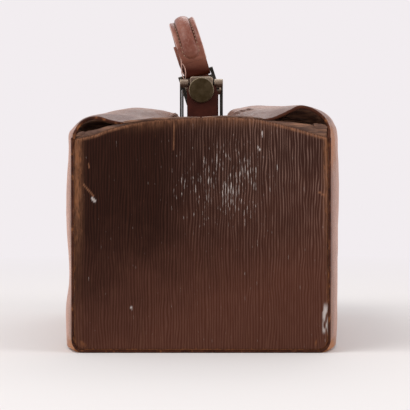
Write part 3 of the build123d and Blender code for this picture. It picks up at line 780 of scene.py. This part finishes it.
def side_waves(side, outer, run):
    """How far the soft leather stands out of its plain outline: slack waves, and the right flap's crease."""
    x, y, z = outer[..., 0], outer[..., 1], outer[..., 2]
    slack = smooth_step(PANEL_BACK - np.abs(y), 4, 60)
    free = smooth_step(run, 20, 60) * smooth_step(GIRTH - run, 6, 30)
    seed = 71 if side == "left" else 91
    wave = 1.3 * noise(y, run, 75, 60, seed) + 0.5 * noise(y, run, 24, 30, seed + 1)
    wave += 0.22 * noise(y, run, 7, 12, seed + 2)
    depth = wave * slack * free
    if side == "right":
        start, end = np.array(FLAP_CREASE)
        along = end - start
        share = ((x - start[0]) * along[0] + (y - start[1]) * along[1]) / (along @ along)
        away = np.cross(along, np.stack([x, y], axis=2) - start) / np.linalg.norm(along)
        on_crease = smooth_step(share, 0.0, 0.25) * smooth_step(-share, -1.1, -0.8) * (z > 245)
        groove = 1.8 * np.exp(-(away / 1.6) ** 2)
        depth = depth + on_crease * (1.3 * np.exp(-((away - 3) / 2.5) ** 2) - groove)
    return depth


def side_values(side, x, y, z):
    """Surface values of a side: worn rims, painted shade in folds and over the top, the strip by the seam and
    the frayed patch.
    """
    edge = PANEL_BACK - np.abs(y)
    worn = 0.8 * np.exp(-(edge / 5) ** 2) * smooth_step(z, 205, 240)
    worn = np.maximum(worn, 0.65 * np.exp(-(edge / 4) ** 2))
    worn = np.maximum(worn, 0.95 * (1 - smooth_step(z, 6, 22)) * (0.3 + 0.7 * np.exp(-(edge / 40) ** 2)))
    over_top = smooth_step(z, 240, 256)
    slope = 1 - smooth_step(edge, 34, 44)
    fray = np.zeros_like(worn)
    if side == "left":
        slope = 0.85 * slope * smooth_step(np.abs(x), 54, 78)
    else:
        slope = 0.7 * slope
        shoulder = smooth_step(z, 165, 225) * (1 - smooth_step(z, 238, 268))
        worn = np.maximum(worn, 0.75 * np.exp(-(edge / 45) ** 2) * shoulder)
        fray = (y < 0) * (1 - smooth_step(edge, 3, 9)) * smooth_step(z, 18, 24) * (1 - smooth_step(z, 46, 56))
        fray = fray * smooth_step(noise(y, z, 5, 8, 305), -0.2, 0.2)
    # Painted shade: under the bound edges, on the flaps' near slopes and, more lightly, over the whole top
    fold = np.maximum(slope, 0.95 * (1 - smooth_step(edge, 6, 11)))
    fold = np.maximum(fold, 0.42) * over_top
    seam = (1 - smooth_step(edge, 7, 24)) * (1 - over_top)
    return {"rim": worn, "fold": fold, "seam": seam, "scuff": fray}


def build_side(side, sign):
    """One side's leather in one piece: under the bag, up the wall and over to the jaw."""
    share = np.linspace(-1, 1, 141)
    places = (PANEL_BACK - 0.2) * (1.25 * share - 0.25 * share ** 3)
    rows = 132
    plain = np.empty((rows, len(places), 3))
    for column, y in enumerate(places):
        line = girth(side, y, rows)
        plain[:, column, 0] = sign * line[:, 0]
        plain[:, column, 1] = y
        plain[:, column, 2] = line[:, 1]
    depth = side_waves(side, plain, np.linspace(0, GIRTH, rows)[:, None])
    outer = plain - sign * sheet_normals(plain) * depth[..., None]
    outer[..., 1] *= 1 - edge_pull(outer[..., 2]) / PANEL_BACK
    inner = outer + sign * LEATHER * sheet_normals(outer)
    points, faces = closed_sheet(outer, inner)
    values = on_both_faces(side_values(side, outer[..., 0], plain[..., 1], plain[..., 2]))
    piece = add_piece(f"side_leather_{side}", points, faces, finish("side"), values)
    blend_to_jaw(piece)
    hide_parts(f"side_panel_{side}", f"top_flap_{side}")


def build_lining(side, sign):
    """The cloth lining, which hangs just inside its side wall."""
    low_corner, high_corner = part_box(f"side_lining_{side}")
    places = np.linspace(low_corner[Y], high_corner[Y], 61) / MM
    heights = np.linspace(low_corner[Z], high_corner[Z], 45)[:, None] / MM
    y, z = np.broadcast_arrays(places, heights)
    slack = LINING_SLACK * smooth_step(PANEL_BACK - np.abs(y), 2, 40)
    billow = 0.5 * noise(y, z, 60, 45, 401) * slack
    x = wall_x(side, y, z) - LEATHER - 0.3 - slack - billow
    outer = np.stack([sign * x, y, z], axis=2)
    inner = np.stack([sign * (x - LINING), y, z], axis=2)
    points, faces = closed_sheet(outer, inner)
    piece = add_piece(f"lining_{side}", points, faces, finish("lining"))
    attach(piece, "root")
    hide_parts(f"side_lining_{side}")


def edge_line(side, sign, end_sign, count):
    """The flap's free edge from the seam to the jaw, at one end."""
    line = girth(side, PANEL_BACK - 3, 400)
    line = smooth_curve(line[line[:, 1] > SEAM_TOP][::12], count)
    y = end_sign * (PANEL_BACK - 0.2 - edge_pull(line[:, 1]))
    return np.stack([sign * line[:, 0], y, line[:, 1]], axis=1)


def build_binding(side, sign, end, end_sign):
    """The folded strip that binds a flap's free edge."""
    line = edge_line(side, sign, end_sign, 90)
    out = np.cross(directions(line), (0, 1, 0))
    out *= np.sign(np.sum(out * (line - (0, 0, 170)), axis=1, keepdims=True))
    line = line - out * (LEATHER / 2)
    points, faces = swept(line, (0, 1, 0), rounded_outline(7.5, 3.4, 1.5))
    piece = add_piece(f"flap_binding_{side}_{end}", points, faces, finish("edge"))
    blend_to_jaw(piece)


# How far each gusset's front fold stands above the arch, from the middle outwards
GUSSET_RISE = {"left": ((0, 50, 66, 93, 110, 131, 138), (1.6, 1.8, 2.2, 4.0, 5.2, 7.0, 3.5)),
               "right": ((0, 60, 84, 98, 109, 120, 134, 138), (1.6, 2.0, 3.8, 6.0, 7.6, 10.0, 12.0, 9.0))}


def build_gusset(side, sign, end, end_sign):
    """The folded leather that closes the gap between the arch and the flap's edge."""
    columns = 90
    arch_x = np.linspace(1, HALF_WIDTH - 1.5, 200)
    low = smooth_curve(np.stack([arch_x, arch_height(sign * arch_x) - 1.0], axis=1), columns)
    top = edge_line(side, sign, end_sign, 120)[::-1]
    top = np.stack([np.abs(top[:, 0]), top[:, 2]], axis=1)
    first = np.array([[1.5, top[0, 1]]])
    high = smooth_curve(np.vstack([first, top[::8], top[-1:]]), columns)
    gap = high[:, 1] - low[:, 1]
    rise = smooth_value(low[:, 0], *GUSSET_RISE[side])
    room = np.clip((gap - rise) / 9, 0.12, 1)
    rows = []
    # Each fold line's depth behind the arch, lift, and share of the way to the flap
    steps = ((0.0, -3.0, 0.0), (0.6, 0.6, 0.0), (2.0, 1.0, 0.02), (6.0, 0.9, 0.05), (15.0, 0.45, 0.15),
             (26.0, 0.2, 0.35), (34.0, 0.0, 0.5), (30.0, 0.0, 0.7), (18.0, 0.0, 0.9), (8.0, 0.0, 0.97))
    for index, (depth, lift, share) in enumerate(steps):
        inward = depth * (room if depth > 4 else 1.0)
        flat_x = low[:, 0] + share * (high[:, 0] - low[:, 0])
        height = low[:, 1] + share * (np.maximum(high[:, 1] - 2.6, low[:, 1]) - low[:, 1])
        height = height + (lift if index == 0 else lift * rise)
        y = end_sign * (PANEL_BACK - 0.8 - inward)
        rows.append(np.stack([sign * flat_x, y * np.ones(columns), height], axis=1))
    control = np.array(rows)
    outer = np.empty((46, columns, 3))
    for column in range(columns):
        outer[:, column] = smooth_curve(control[:, column], 46)
    run = np.linspace(0, 80, 46)[:, None]
    crumple = 0.8 * noise(outer[..., 0], run, 26, 11, 131) + 0.35 * noise(outer[..., 0], run, 9, 7, 132)
    outer[..., 2] += crumple * smooth_step(run, 12, 30)
    normal = sheet_normals(outer)
    facing = np.sign(np.mean(normal[4:8, :, 2]))
    inner = outer - 1.2 * facing * normal
    points, faces = closed_sheet(outer, inner)
    piece = add_piece(f"gusset_fold_{side}_{end}", points, faces, finish("gusset"))
    blend_to_jaw(piece)
    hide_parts(f"gusset_{side}_{end}")


def build_underside():
    """The bag's flat leather bottom, between the two rounded lower edges."""
    places = np.linspace(-PANEL_BACK + 0.2, PANEL_BACK - 0.2, 91)
    share = np.linspace(0, 1, 61)
    x = np.empty((len(share), len(places)))
    for column, y in enumerate(places):
        left = -(float(wall_x("left", y, FOOT_RADIUS)) - FOOT_RADIUS) - 0.6
        right = float(wall_x("right", y, FOOT_RADIUS)) - FOOT_RADIUS + 0.6
        x[:, column] = left + (right - left) * share
    y = np.broadcast_to(places, x.shape)
    edge = np.minimum(np.minimum(share, 1 - share)[:, None] * 270, PANEL_BACK - np.abs(y))
    sag = 0.25 + 0.25 * noise(x, y, 40, 40, 161)
    lower = np.stack([x, y, sag * smooth_step(edge, 0, 12)], axis=2)
    upper = lower + (0, 0, LEATHER)
    points, faces = closed_sheet(lower, upper)
    worn = 0.7 * np.exp(-(edge / 8) ** 2)
    values = on_both_faces({"rim": worn})
    piece = add_piece("underside_leather", points, faces, finish("side"), values)
    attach(piece, "root")
    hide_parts("bottom_leather")


# Handle

HANDLE_JOINT = [joint for joint in frame["joints"] if joint["name"] == "handle_swing"][0]
STUD_HEIGHT = HANDLE_JOINT["pos_m"][Z] / MM
HANDLE_SLIP = 2.0
GRIP_REACH = -(cad_mm("handle_ring_near", LOW, Y) + cad_mm("handle_ring_near", HIGH, Y)) / 2
GRIP_BEND = 44.0
GRIP_TOP = 90.0
GRIP_START = 36.0
GRIP_HALF = 15.5
RIB_HALF = 8.4
RIB_RISE = 5.0
CORE_COVER = 2.4
NOSE_START = 5.0
STITCH_LINE = 9.7


def leaned(points, sizes):
    """Moves points from the handle's upright frame to its lean on the studs."""
    lean = math.radians(round(math.degrees(sizes.handle_lean), 4))
    points = np.asarray(points, float)
    turn_sin, turn_cos = math.sin(lean), math.cos(lean)
    moved = points.copy()
    across = points[..., 0] + HANDLE_SLIP
    moved[..., 0] = across * turn_cos - points[..., 2] * turn_sin
    moved[..., 2] = STUD_HEIGHT + across * turn_sin + points[..., 2] * turn_cos
    return moved


def grip_route(count):
    """The grip's middle line with its outward direction, upright, from the near end to the far end."""
    turns = np.radians(np.linspace(0, 90, 25))
    flat = GRIP_REACH - GRIP_BEND
    rise = GRIP_TOP - GRIP_BEND
    near = np.stack([-flat - GRIP_BEND * np.cos(turns), rise + GRIP_BEND * np.sin(turns)], axis=1)
    line = np.vstack([[(-GRIP_REACH, GRIP_START)], near, near[::-1] * (-1, 1), [(GRIP_REACH, GRIP_START)]])
    run = np.concatenate([[0], np.cumsum(np.hypot(*np.diff(line, axis=0).T))])
    even = np.linspace(0, run[-1], count)
    columns = [np.zeros(count)] + [np.interp(even, run, column) for column in line.T]
    route = np.stack(columns, axis=1)
    return route, np.cross((1, 0, 0), directions(route)), even


def grip_surface(width, run, length):
    """The height of the grip's outer face, and how far each point lies in the groove, from 0 to 1."""
    from_end = np.minimum(run, length - run)
    away = np.where(from_end < NOSE_START + RIB_HALF,
                    np.hypot(width, NOSE_START + RIB_HALF - from_end), np.abs(width))
    fade = 0.62 + 0.38 * smooth_step(from_end, NOSE_START - 2, NOSE_START + 22)
    rib = RIB_RISE * fade * np.clip(1 - (away / (RIB_HALF + 0.8)) ** 2, 0, 1) ** 0.6
    groove = np.exp(-((away - STITCH_LINE + 0.5) / 0.9) ** 2)
    groove = groove * (0.12 + 0.88 * smooth_step(from_end, NOSE_START + 9, NOSE_START + 24))
    lip = np.exp(-((np.abs(width) - GRIP_HALF + 2.2) / 1.6) ** 2) * smooth_step(from_end, 2, 14)
    return 1.6 + rib - 1.0 * groove + 0.4 * lip, groove


def build_grip(sizes):
    """The grip: a raised rib between two stitched flanges, lined underneath."""
    rows = 190
    route, outward, run = grip_route(rows)
    length = run[-1]
    across = np.linspace(-GRIP_HALF, GRIP_HALF, 49)
    width = np.broadcast_to(across, (rows, len(across)))
    top, groove = grip_surface(width, run[:, None], length)
    top = top + 0.18 * noise(run[:, None], width, 9, 6, 201)
    from_end = np.minimum(run, length - run)[:, None]
    thin = 0.45 + 0.55 * smooth_step(from_end, 0, 10)
    drift = 1.6 * (1 - smooth_step(from_end, 0, 12))
    round_edge = np.sqrt(np.clip(1 - (np.maximum(np.abs(width) - GRIP_HALF + 1.6, 0) / 1.6) ** 2, 0, 1))
    under = np.full_like(top, -2.2) + 0.4 * np.exp(-((np.abs(width) - 12) / 2) ** 2)
    under = under - CORE_COVER * np.clip(1 - (width / 6.5) ** 2, 0, 1) ** 0.6
    middle = -0.3
    outer = middle + (top - middle) * (0.25 + 0.75 * round_edge)
    lower = middle + (under - middle) * (0.25 + 0.75 * round_edge) * thin
    outer = outer + drift
    lower = lower + drift
    wavy = 0.35 * noise(run[:, None], np.sign(width), 16, 5, 203) * smooth_step(np.abs(width), 10, 15)
    x = width + wavy
    shell = []
    for height in (outer, lower):
        shell.append(route[:, None] + x[..., None] * (1, 0, 0) + height[..., None] * outward[:, None])
    points, faces = closed_sheet(shell[0], shell[1])
    # rubbed: worn flange edges, plus a painted highlight along the rib top
    rubbed = np.clip(0.8 * smooth_step(np.abs(width), 13.6, 15.4) + 0.25 * smooth_step(top, 5.0, 7.0), 0, 1)
    values = {"groove": np.concatenate([groove.ravel(), 0 * groove.ravel()]),
              "rim": np.concatenate([rubbed.ravel(), 0.5 * rubbed.ravel()])}
    points = leaned(points, sizes)
    piece = add_piece("grip_leather", points, faces, finish("handle"), values)
    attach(piece, "handle")
    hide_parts("handle_grip")


def stitch(start, end, outward, radius):
    """One thread stitch that dips into the leather at both ends."""
    share = np.linspace(0, 1, 6)[:, None]
    line = start + (end - start) * share + outward * (0.55 * np.sin(math.pi * share) - 0.25)
    side = np.cross(end - start, outward)
    turns = np.linspace(0, 2 * math.pi, 6, endpoint=False)
    circle = np.stack([np.cos(turns), np.sin(turns)], axis=1)
    thickness = radius * (0.45 + 0.55 * np.sin(math.pi * share))[..., None]
    return swept(line, side, circle[None] * thickness)


def build_grip_stitches(sizes):
    """Thread along both sides of the rib and round its two noses."""
    route, outward, run = grip_route(400)
    length = run[-1]
    nose = NOSE_START + RIB_HALF
    pitch = in_mm(sizes.stitch_pitch)
    straight = np.arange(nose, length - nose + 0.1, pitch / 4)
    arc = np.arange(math.pi / 2, math.pi * 1.5, pitch / 4 / STITCH_LINE)
    track = [(STITCH_LINE, s) for s in straight[::-1]]
    track += [(STITCH_LINE * math.sin(a), nose + STITCH_LINE * math.cos(a)) for a in arc]
    track += [(-STITCH_LINE, s) for s in straight]
    track += [(-STITCH_LINE * math.sin(a), length - nose - STITCH_LINE * math.cos(a)) for a in arc]
    track = np.array(track)
    walked = np.concatenate([[0], np.cumsum(np.hypot(*np.diff(track, axis=0).T))])
    marks = np.arange(0, walked[-1] - pitch, pitch)

    def place(distance):
        width = np.interp(distance, walked, track[:, 0])
        along = np.clip(np.interp(distance, walked, track[:, 1]), 0, length)
        height = grip_surface(np.array(width), np.array(along), length)[0]
        base, out = (np.array([np.interp(along, run, column) for column in line.T])
                     for line in (route, outward))
        return base + width * np.array((1, 0, 0)) + height * out, out

    parts = []
    for mark in marks:
        start, out = place(mark + 0.8)
        end = place(mark + pitch - 0.8)[0]
        parts.append(stitch(start, end, out, 0.62))
    points, faces = joined(parts)
    piece = add_piece("grip_stitches", leaned(points, sizes), faces, finish("thread"))
    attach(piece, "handle")


def build_loop(end, sign, sizes):
    """The strap return: down the outside, round the ring's bar and up the inside."""
    bar = 22.0
    reach = 3.7
    turns = np.radians(np.linspace(0, 180, 9))
    bend = np.stack([reach * np.cos(turns), bar - reach * np.sin(turns)], axis=1)
    outside = ((0.2, 56), (0.3, 48), (0.9, 41), (2.3, 33), (3.4, 28))
    inside = ((-3.9, 30), (-3.6, 38), (-4.9, 46), (-6.3, 54), (-6.9, 60))
    line = smooth_curve(np.vstack([outside, bend, inside]), 70)
    route = np.stack([np.zeros(len(line)), sign * (GRIP_REACH + line[:, 0]), line[:, 1]], axis=1)
    run = np.linspace(0, 1, len(line))
    if end == "near":
        route[:, X] = -3.4 * smooth_step(run, 0.5, 0.75)
    half = 15.3 - 0.5 * np.sin(math.pi * run)
    outline = rounded_outline(2.0, 2.5, 0.9)
    across = outline[:, 0]
    outlines = np.stack([np.stack([np.sign(across) * (width - 1) + across, outline[:, 1]], axis=1)
                         for width in half])
    points, faces = swept(route, (1, 0, 0), outlines)
    rubbed = 0.3 * np.repeat(smooth_step(run, 0.5, 0.8), len(across))
    points = leaned(points, sizes)
    values = {"rim": rubbed, "groove": 0 * rubbed}
    piece = add_piece(f"handle_return_{end}", points, faces, finish("handle"), values)
    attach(piece, "handle")
    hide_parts(f"handle_loop_{end}")


# Frayed slivers at the strap's lower left edge, as upright (across, outward, up) points in millimetres
FRAYS = (
    ((-13.2, 2.6, 43), (-15.6, 3.2, 37), (-17.2, 3.6, 30), (-15.9, 4.2, 23)),
    ((-14.6, 2.4, 39), (-12.9, 4.0, 33), (-13.4, 5.0, 27), (-15.9, 4.6, 19)),
    ((-15.2, 2.0, 34), (-18.1, 2.2, 27), (-17.3, 3.0, 18)),
)


def build_fray(sizes):
    """Slivers of torn leather along the edge of the near strap."""
    parts = []
    for points in FRAYS:
        line = smooth_curve(points, 16)
        route = np.stack([line[:, 0], -GRIP_REACH - line[:, 1], line[:, 2]], axis=1)
        width = 1.0 - 0.7 * np.abs(np.linspace(-1, 1, 16)) ** 3
        outline = rounded_outline(1.2, 0.8, 0.3)
        parts.append(swept(route, (1, 0, 0), outline[None] * width[:, None, None]))
    points, faces = joined(parts)
    values = {"rim": np.full(len(points), 0.75), "groove": np.zeros(len(points))}
    piece = add_piece("strap_fray", leaned(points, sizes), faces, finish("handle"), values)
    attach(piece, "handle")


# Bracket tabs

def build_tab(end, sign):
    """Two layers of smooth strap behind the disc, rounded at the top and turned in under the bracket."""
    low_corner, high_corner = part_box(f"bracket_tab_{end}")
    half = high_corner[X] / MM
    bottom, top = low_corner[Z] / MM, high_corner[Z] / MM
    inner, outer = sorted((abs(low_corner[Y]) / MM, abs(high_corner[Y]) / MM))
    parts = []
    for shift, lift, y_mid in ((0.7, 0.0, outer - 0.8), (2.6, -4.5, outer - 2.3)):
        columns = np.linspace(-half, half, 45)
        rows = np.linspace(0, 1, 60)[:, None]
        turn = 7.0
        over = np.clip(np.abs(columns) - half + turn, 0, turn)
        drop = turn - np.sqrt(np.clip(turn ** 2 - over ** 2, 0, None))
        height = bottom + rows * (top + lift - drop - bottom)
        wave = 0.3 * noise(columns[None], height, 14, 14, 221 + int(shift))
        faces_y = []
        for thickness in (0.75, -0.75):
            edge = np.clip((np.abs(columns) - half + 0.8) / 0.8, 0, 1)
            y = y_mid + thickness * (1 - 0.6 * edge ** 2) + 0 * height
            bent = smooth_step(height, bottom + 4, bottom)
            across = np.broadcast_to(columns, height.shape) + shift
            faces_y.append(np.stack([across, sign * (y - 1.5 * bent + wave), height], axis=2))
        parts.append(closed_sheet(*faces_y))
    foot = rounded_outline(2 * half - 2, 2.6, 1.1)
    route = [(0, sign * y, bottom + 1.4) for y in np.linspace(inner, outer - 1.0, 8)]
    parts.append(swept(route, (1, 0, 0), foot))
    points, faces = joined(parts)
    piece = add_piece(f"strap_tab_{end}", points, faces, finish("tab"))
    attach(piece, "jaw_right")
    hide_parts(f"bracket_tab_{end}")


# Finishes of the CAD pieces that keep their own shape

CAD_FINISHES = {
    "board": ("end_board_near", "end_board_far", "base_board"),
    "edge": ("piping_near", "piping_far"),
    "side": ("jaw_cover_left", "jaw_cover_right"),
    "worn_brass": ("bracket_knobs_near", "bracket_knobs_far", "bracket_boss_near", "bracket_boss_far"),
    "frame_steel": ("jaw_left", "jaw_right", "hinge_plate_near", "hinge_plate_far"),
    "dark_steel": ("hinge_pin_near", "hinge_pin_far", "hinge_washer_near", "hinge_washer_far",
                   "bracket_stirrup_near", "bracket_stirrup_far", "handle_ring_near", "handle_ring_far",
                   "handle_core", "hinge_rivets", "stud_nut_near", "stud_nut_far"),
}


def build_fittings():
    """Gives every CAD piece that stays in view its finish; what isn't listed is brass."""
    named = {name: key for key, names in CAD_FINISHES.items() for name in names}
    for name, piece in frame["nodes"].items():
        material = finish(named.get(name, "brass"))
        if not piece.material_slots:
            piece.data.materials.append(material)
        for place in piece.material_slots:
            place.material = material
        piece.data.shade_smooth()
        piece.data.set_sharp_from_angle(angle=math.radians(30))


# Stage, in metres: lamps are (name, place, size, watts, colour)

CAMERA_X = 0.0043
VIEW_MIDDLE = 0.161
LAMPS = (
    ("key_soft_box", (-1.1, -0.9, 2.2), 1.6, 22.0, "fffcf8"),
    ("fill_soft_box", (1.9, -0.9, 1.2), 1.4, 14.0, "fffbf7"),
    ("left_soft_box", (-1.9, -0.5, 0.8), 1.2, 6.0, "fffefc"),
    ("back_soft_box", (0.3, 1.6, 1.9), 1.4, 9.0, "ffffff"),
)


def build_surround(colour, room_light):
    """A pale world for the camera, and an even light from all round."""
    world = bpy.data.worlds.new("pale_surround")
    bpy.context.scene.world = world
    world.use_nodes = True
    add = partial(node, world.node_tree)
    seen = add("larger", add("rays"), add("rays", out="Is Transmission Ray"))
    seen = add("larger", seen, add("rays", out="Is Glossy Ray"))
    fill(world.node_tree.nodes["Background"], {
        "Strength": add("range", seen, 0, 1, room_light, 1.0),
        "Color": add("mix", seen, linear("fffdfc"), colour),
    })


def build_floor(colours):
    """A round matt floor that fades into the surround."""
    mesh = bpy.data.meshes.new("floor")
    count = 96
    turns = np.linspace(0, 2 * math.pi, count, endpoint=False)
    rings = (0.3, 0.6, 1.0, 1.6, 2.4, 4.0, 7.0, 12.0)
    points = [(0.0, 0.0, 0.0)]
    points += [(radius * math.cos(a), radius * math.sin(a), 0.0) for radius in rings for a in turns]
    faces = [(0, 1 + i, 1 + (i + 1) % count) for i in range(count)]
    faces += grid_faces(len(rings), count, start=1, wrap=True)
    mesh.from_pydata(points, [], faces)
    floor = bpy.data.objects.new("floor", mesh)
    bpy.context.scene.collection.objects.link(floor)
    material, shader, add, place = new_material("matt_paper_floor")
    mesh.materials.append(material)
    fill(shader, {"Base Color": colours["floor"], "Roughness": 0.9, "Specular IOR Level": 0.1})
    seen = add("larger", add("rays"), add("rays", out="Is Glossy Ray"))
    share = add("times", add("range", add("length", place), 0.55, 1.6), seen)
    glow = add("glow", colours["surround"], 1.0)
    surface = add("blend", share, shader.outputs[0], glow)
    fill(material.node_tree.nodes["Material Output"], {"Surface": surface})


def aimed(name, data, place, target):
    """Puts a lamp or camera at a place, turned towards a target."""
    holder = bpy.data.objects.new(name, data)
    holder.location = place
    holder.rotation_euler = (Vector(target) - Vector(place)).to_track_quat("-Z", "Y").to_euler()
    bpy.context.scene.collection.objects.link(holder)
    return holder


def build_stage(sizes, colours):
    """A pale floor that fades into a pale surround, soft lamps and the camera."""
    scene = bpy.context.scene
    scene.view_settings.view_transform = "Standard"
    build_surround(colours["surround"], sizes.room_light)
    build_floor(colours)
    for name, place, size, power, warmth in LAMPS:
        lamp = bpy.data.lights.new(name, "AREA")
        lamp.shape = "DISK"
        lamp.size = size
        lamp.energy = power
        lamp.color = linear(warmth)[:3]
        aimed(name, lamp, place, (0, 0, 0.15))
    camera = bpy.data.cameras.new("camera")
    camera.sensor_width = 36.0
    camera.lens = sizes.lens
    place = (CAMERA_X, -sizes.camera_distance, sizes.camera_height)
    scene.camera = aimed("camera", camera, place, (CAMERA_X, -END_FACE * MM, VIEW_MIDDLE))


# Settings, operators and panel

class BagSizes(bpy.types.PropertyGroup):
    """Sizes that a user would change."""
    rib_pitch: bpy.props.FloatProperty(
        name="Ridge spacing", description="From one pressed ridge of the end panels to the next",
        default=2.95 * MM, min=1.5 * MM, max=10 * MM, precision=5, unit="LENGTH")
    rib_depth: bpy.props.FloatProperty(
        name="Ridge height", description="How far the pressed ridges stand out",
        default=0.3 * MM, min=0.0, max=0.6 * MM, precision=5, unit="LENGTH")
    stitch_pitch: bpy.props.FloatProperty(
        name="Stitch spacing", description="From one stitch of the grip to the next",
        default=4.9 * MM, min=3 * MM, max=10 * MM, precision=5, unit="LENGTH")
    handle_lean: bpy.props.FloatProperty(
        name="Handle lean", description="How far the handle leans to the left of upright",
        default=math.radians(17), min=math.radians(-20), max=math.radians(60), subtype="ANGLE")
    camera_distance: bpy.props.FloatProperty(
        name="Camera distance", description="From the bag's middle to the camera",
        default=1.83, min=0.5, unit="LENGTH")
    camera_height: bpy.props.FloatProperty(
        name="Camera height", description="Above the floor", default=0.2, min=0.0, unit="LENGTH")
    lens: bpy.props.FloatProperty(
        name="Lens", description="Focal length in millimetres", default=129.5, min=20.0,
        unit="CAMERA")
    room_light: bpy.props.FloatProperty(
        name="Room light", description="Strength of the even light from all round", default=0.66, min=0.0)


class BagColours(bpy.types.PropertyGroup):
    """Colours that a user would change."""
    panel: bpy.props.FloatVectorProperty(
        name="Ridge tops", description="Polished tops of the straight grain", subtype="COLOR",
        size=4, min=0, max=1, default=linear("5d3b30"))
    worn: bpy.props.FloatVectorProperty(
        name="Bare hide", description="Tan hide where the dye has rubbed off", subtype="COLOR",
        size=4, min=0, max=1, default=linear("a4693f"))
    surround: bpy.props.FloatVectorProperty(
        name="Surround", description="Pale surround behind the bag", subtype="COLOR",
        size=4, min=0, max=1, default=linear("f2edf0"))
    floor: bpy.props.FloatVectorProperty(
        name="Floor", description="Matt paper floor", subtype="COLOR",
        size=4, min=0, max=1, default=linear("e8e5e6"))


class BagOperator:
    """What the bag's operators share."""
    bl_options = {"REGISTER", "UNDO"}

    def execute(self, context):
        group = context.scene.bag_colours
        colours = {key: tuple(getattr(group, key)) for key in BagColours.__annotations__}
        self.build(context.scene.bag_sizes, colours)
        return {"FINISHED"}


class BAG_OT_stage(BagOperator, bpy.types.Operator):
    """Build the floor, surround, lamps and camera"""
    bl_idname = "bag.stage"
    bl_label = "Stage"

    def build(self, sizes, colours):
        build_stage(sizes, colours)


class BAG_OT_fittings(BagOperator, bpy.types.Operator):
    """Make the finishes and give the CAD pieces theirs"""
    bl_idname = "bag.fittings"
    bl_label = "Finishes and fittings"

    def build(self, sizes, colours):
        for key, material in build_finishes(colours).items():
            FINISH_NAMES[key] = material.name
        build_fittings()


class BAG_OT_end_panels(BagOperator, bpy.types.Operator):
    """Build the two straight-grained end panels"""
    bl_idname = "bag.end_panels"
    bl_label = "End panels"

    def build(self, sizes, colours):
        for end, sign in ENDS:
            build_panel(end, sign, sizes)


class BAG_OT_side_leather(BagOperator, bpy.types.Operator):
    """Build the leather of both sides and the underside"""
    bl_idname = "bag.side_leather"
    bl_label = "Sides and underside"

    def build(self, sizes, colours):
        for side, sign in SIDES:
            build_side(side, sign)
            build_lining(side, sign)
        build_underside()


class BAG_OT_mouth_folds(BagOperator, bpy.types.Operator):
    """Build the bound edges of the flaps and the folded gussets"""
    bl_idname = "bag.mouth_folds"
    bl_label = "Bindings and gussets"

    def build(self, sizes, colours):
        for side, sign in SIDES:
            for end, end_sign in ENDS:
                build_binding(side, sign, end, end_sign)
                build_gusset(side, sign, end, end_sign)


class BAG_OT_tabs(BagOperator, bpy.types.Operator):
    """Build the strap tabs behind the discs"""
    bl_idname = "bag.tabs"
    bl_label = "Strap tabs"

    def build(self, sizes, colours):
        for end, sign in ENDS:
            build_tab(end, sign)


class BAG_OT_handle(BagOperator, bpy.types.Operator):
    """Build the grip, its stitches and its returns"""
    bl_idname = "bag.handle"
    bl_label = "Handle"

    def build(self, sizes, colours):
        build_grip(sizes)
        build_grip_stitches(sizes)
        build_fray(sizes)
        for end, sign in ENDS:
            build_loop(end, sign, sizes)


OPERATORS = (BAG_OT_stage, BAG_OT_fittings, BAG_OT_end_panels, BAG_OT_side_leather, BAG_OT_mouth_folds,
             BAG_OT_tabs, BAG_OT_handle)


class BAG_PT_sidebar(bpy.types.Panel):
    """The bag's settings and build steps"""
    bl_idname = "BAG_PT_sidebar"
    bl_label = "Gladstone bag"
    bl_space_type = "VIEW_3D"
    bl_region_type = "UI"
    bl_category = "Gladstone bag"

    def draw(self, context):
        for group in (context.scene.bag_sizes, context.scene.bag_colours):
            for key in group.__annotations__:
                self.layout.prop(group, key)
        for operator in OPERATORS:
            self.layout.operator(operator.bl_idname)


CLASSES = (BagSizes, BagColours) + OPERATORS + (BAG_PT_sidebar,)


def register():
    """Registers the settings, operators and panel."""
    for each in CLASSES:
        bpy.utils.register_class(each)
    bpy.types.Scene.bag_sizes = bpy.props.PointerProperty(type=BagSizes)
    bpy.types.Scene.bag_colours = bpy.props.PointerProperty(type=BagColours)


def unregister():
    """Removes what register added."""
    del bpy.types.Scene.bag_colours
    del bpy.types.Scene.bag_sizes
    for each in reversed(CLASSES):
        bpy.utils.unregister_class(each)


def main():
    """Builds everything in order."""
    register()
    bpy.ops.bag.stage()
    bpy.ops.bag.fittings()
    bpy.ops.bag.end_panels()
    bpy.ops.bag.side_leather()
    bpy.ops.bag.mouth_folds()
    bpy.ops.bag.tabs()
    bpy.ops.bag.handle()


if __name__ == "__main__":
    main()
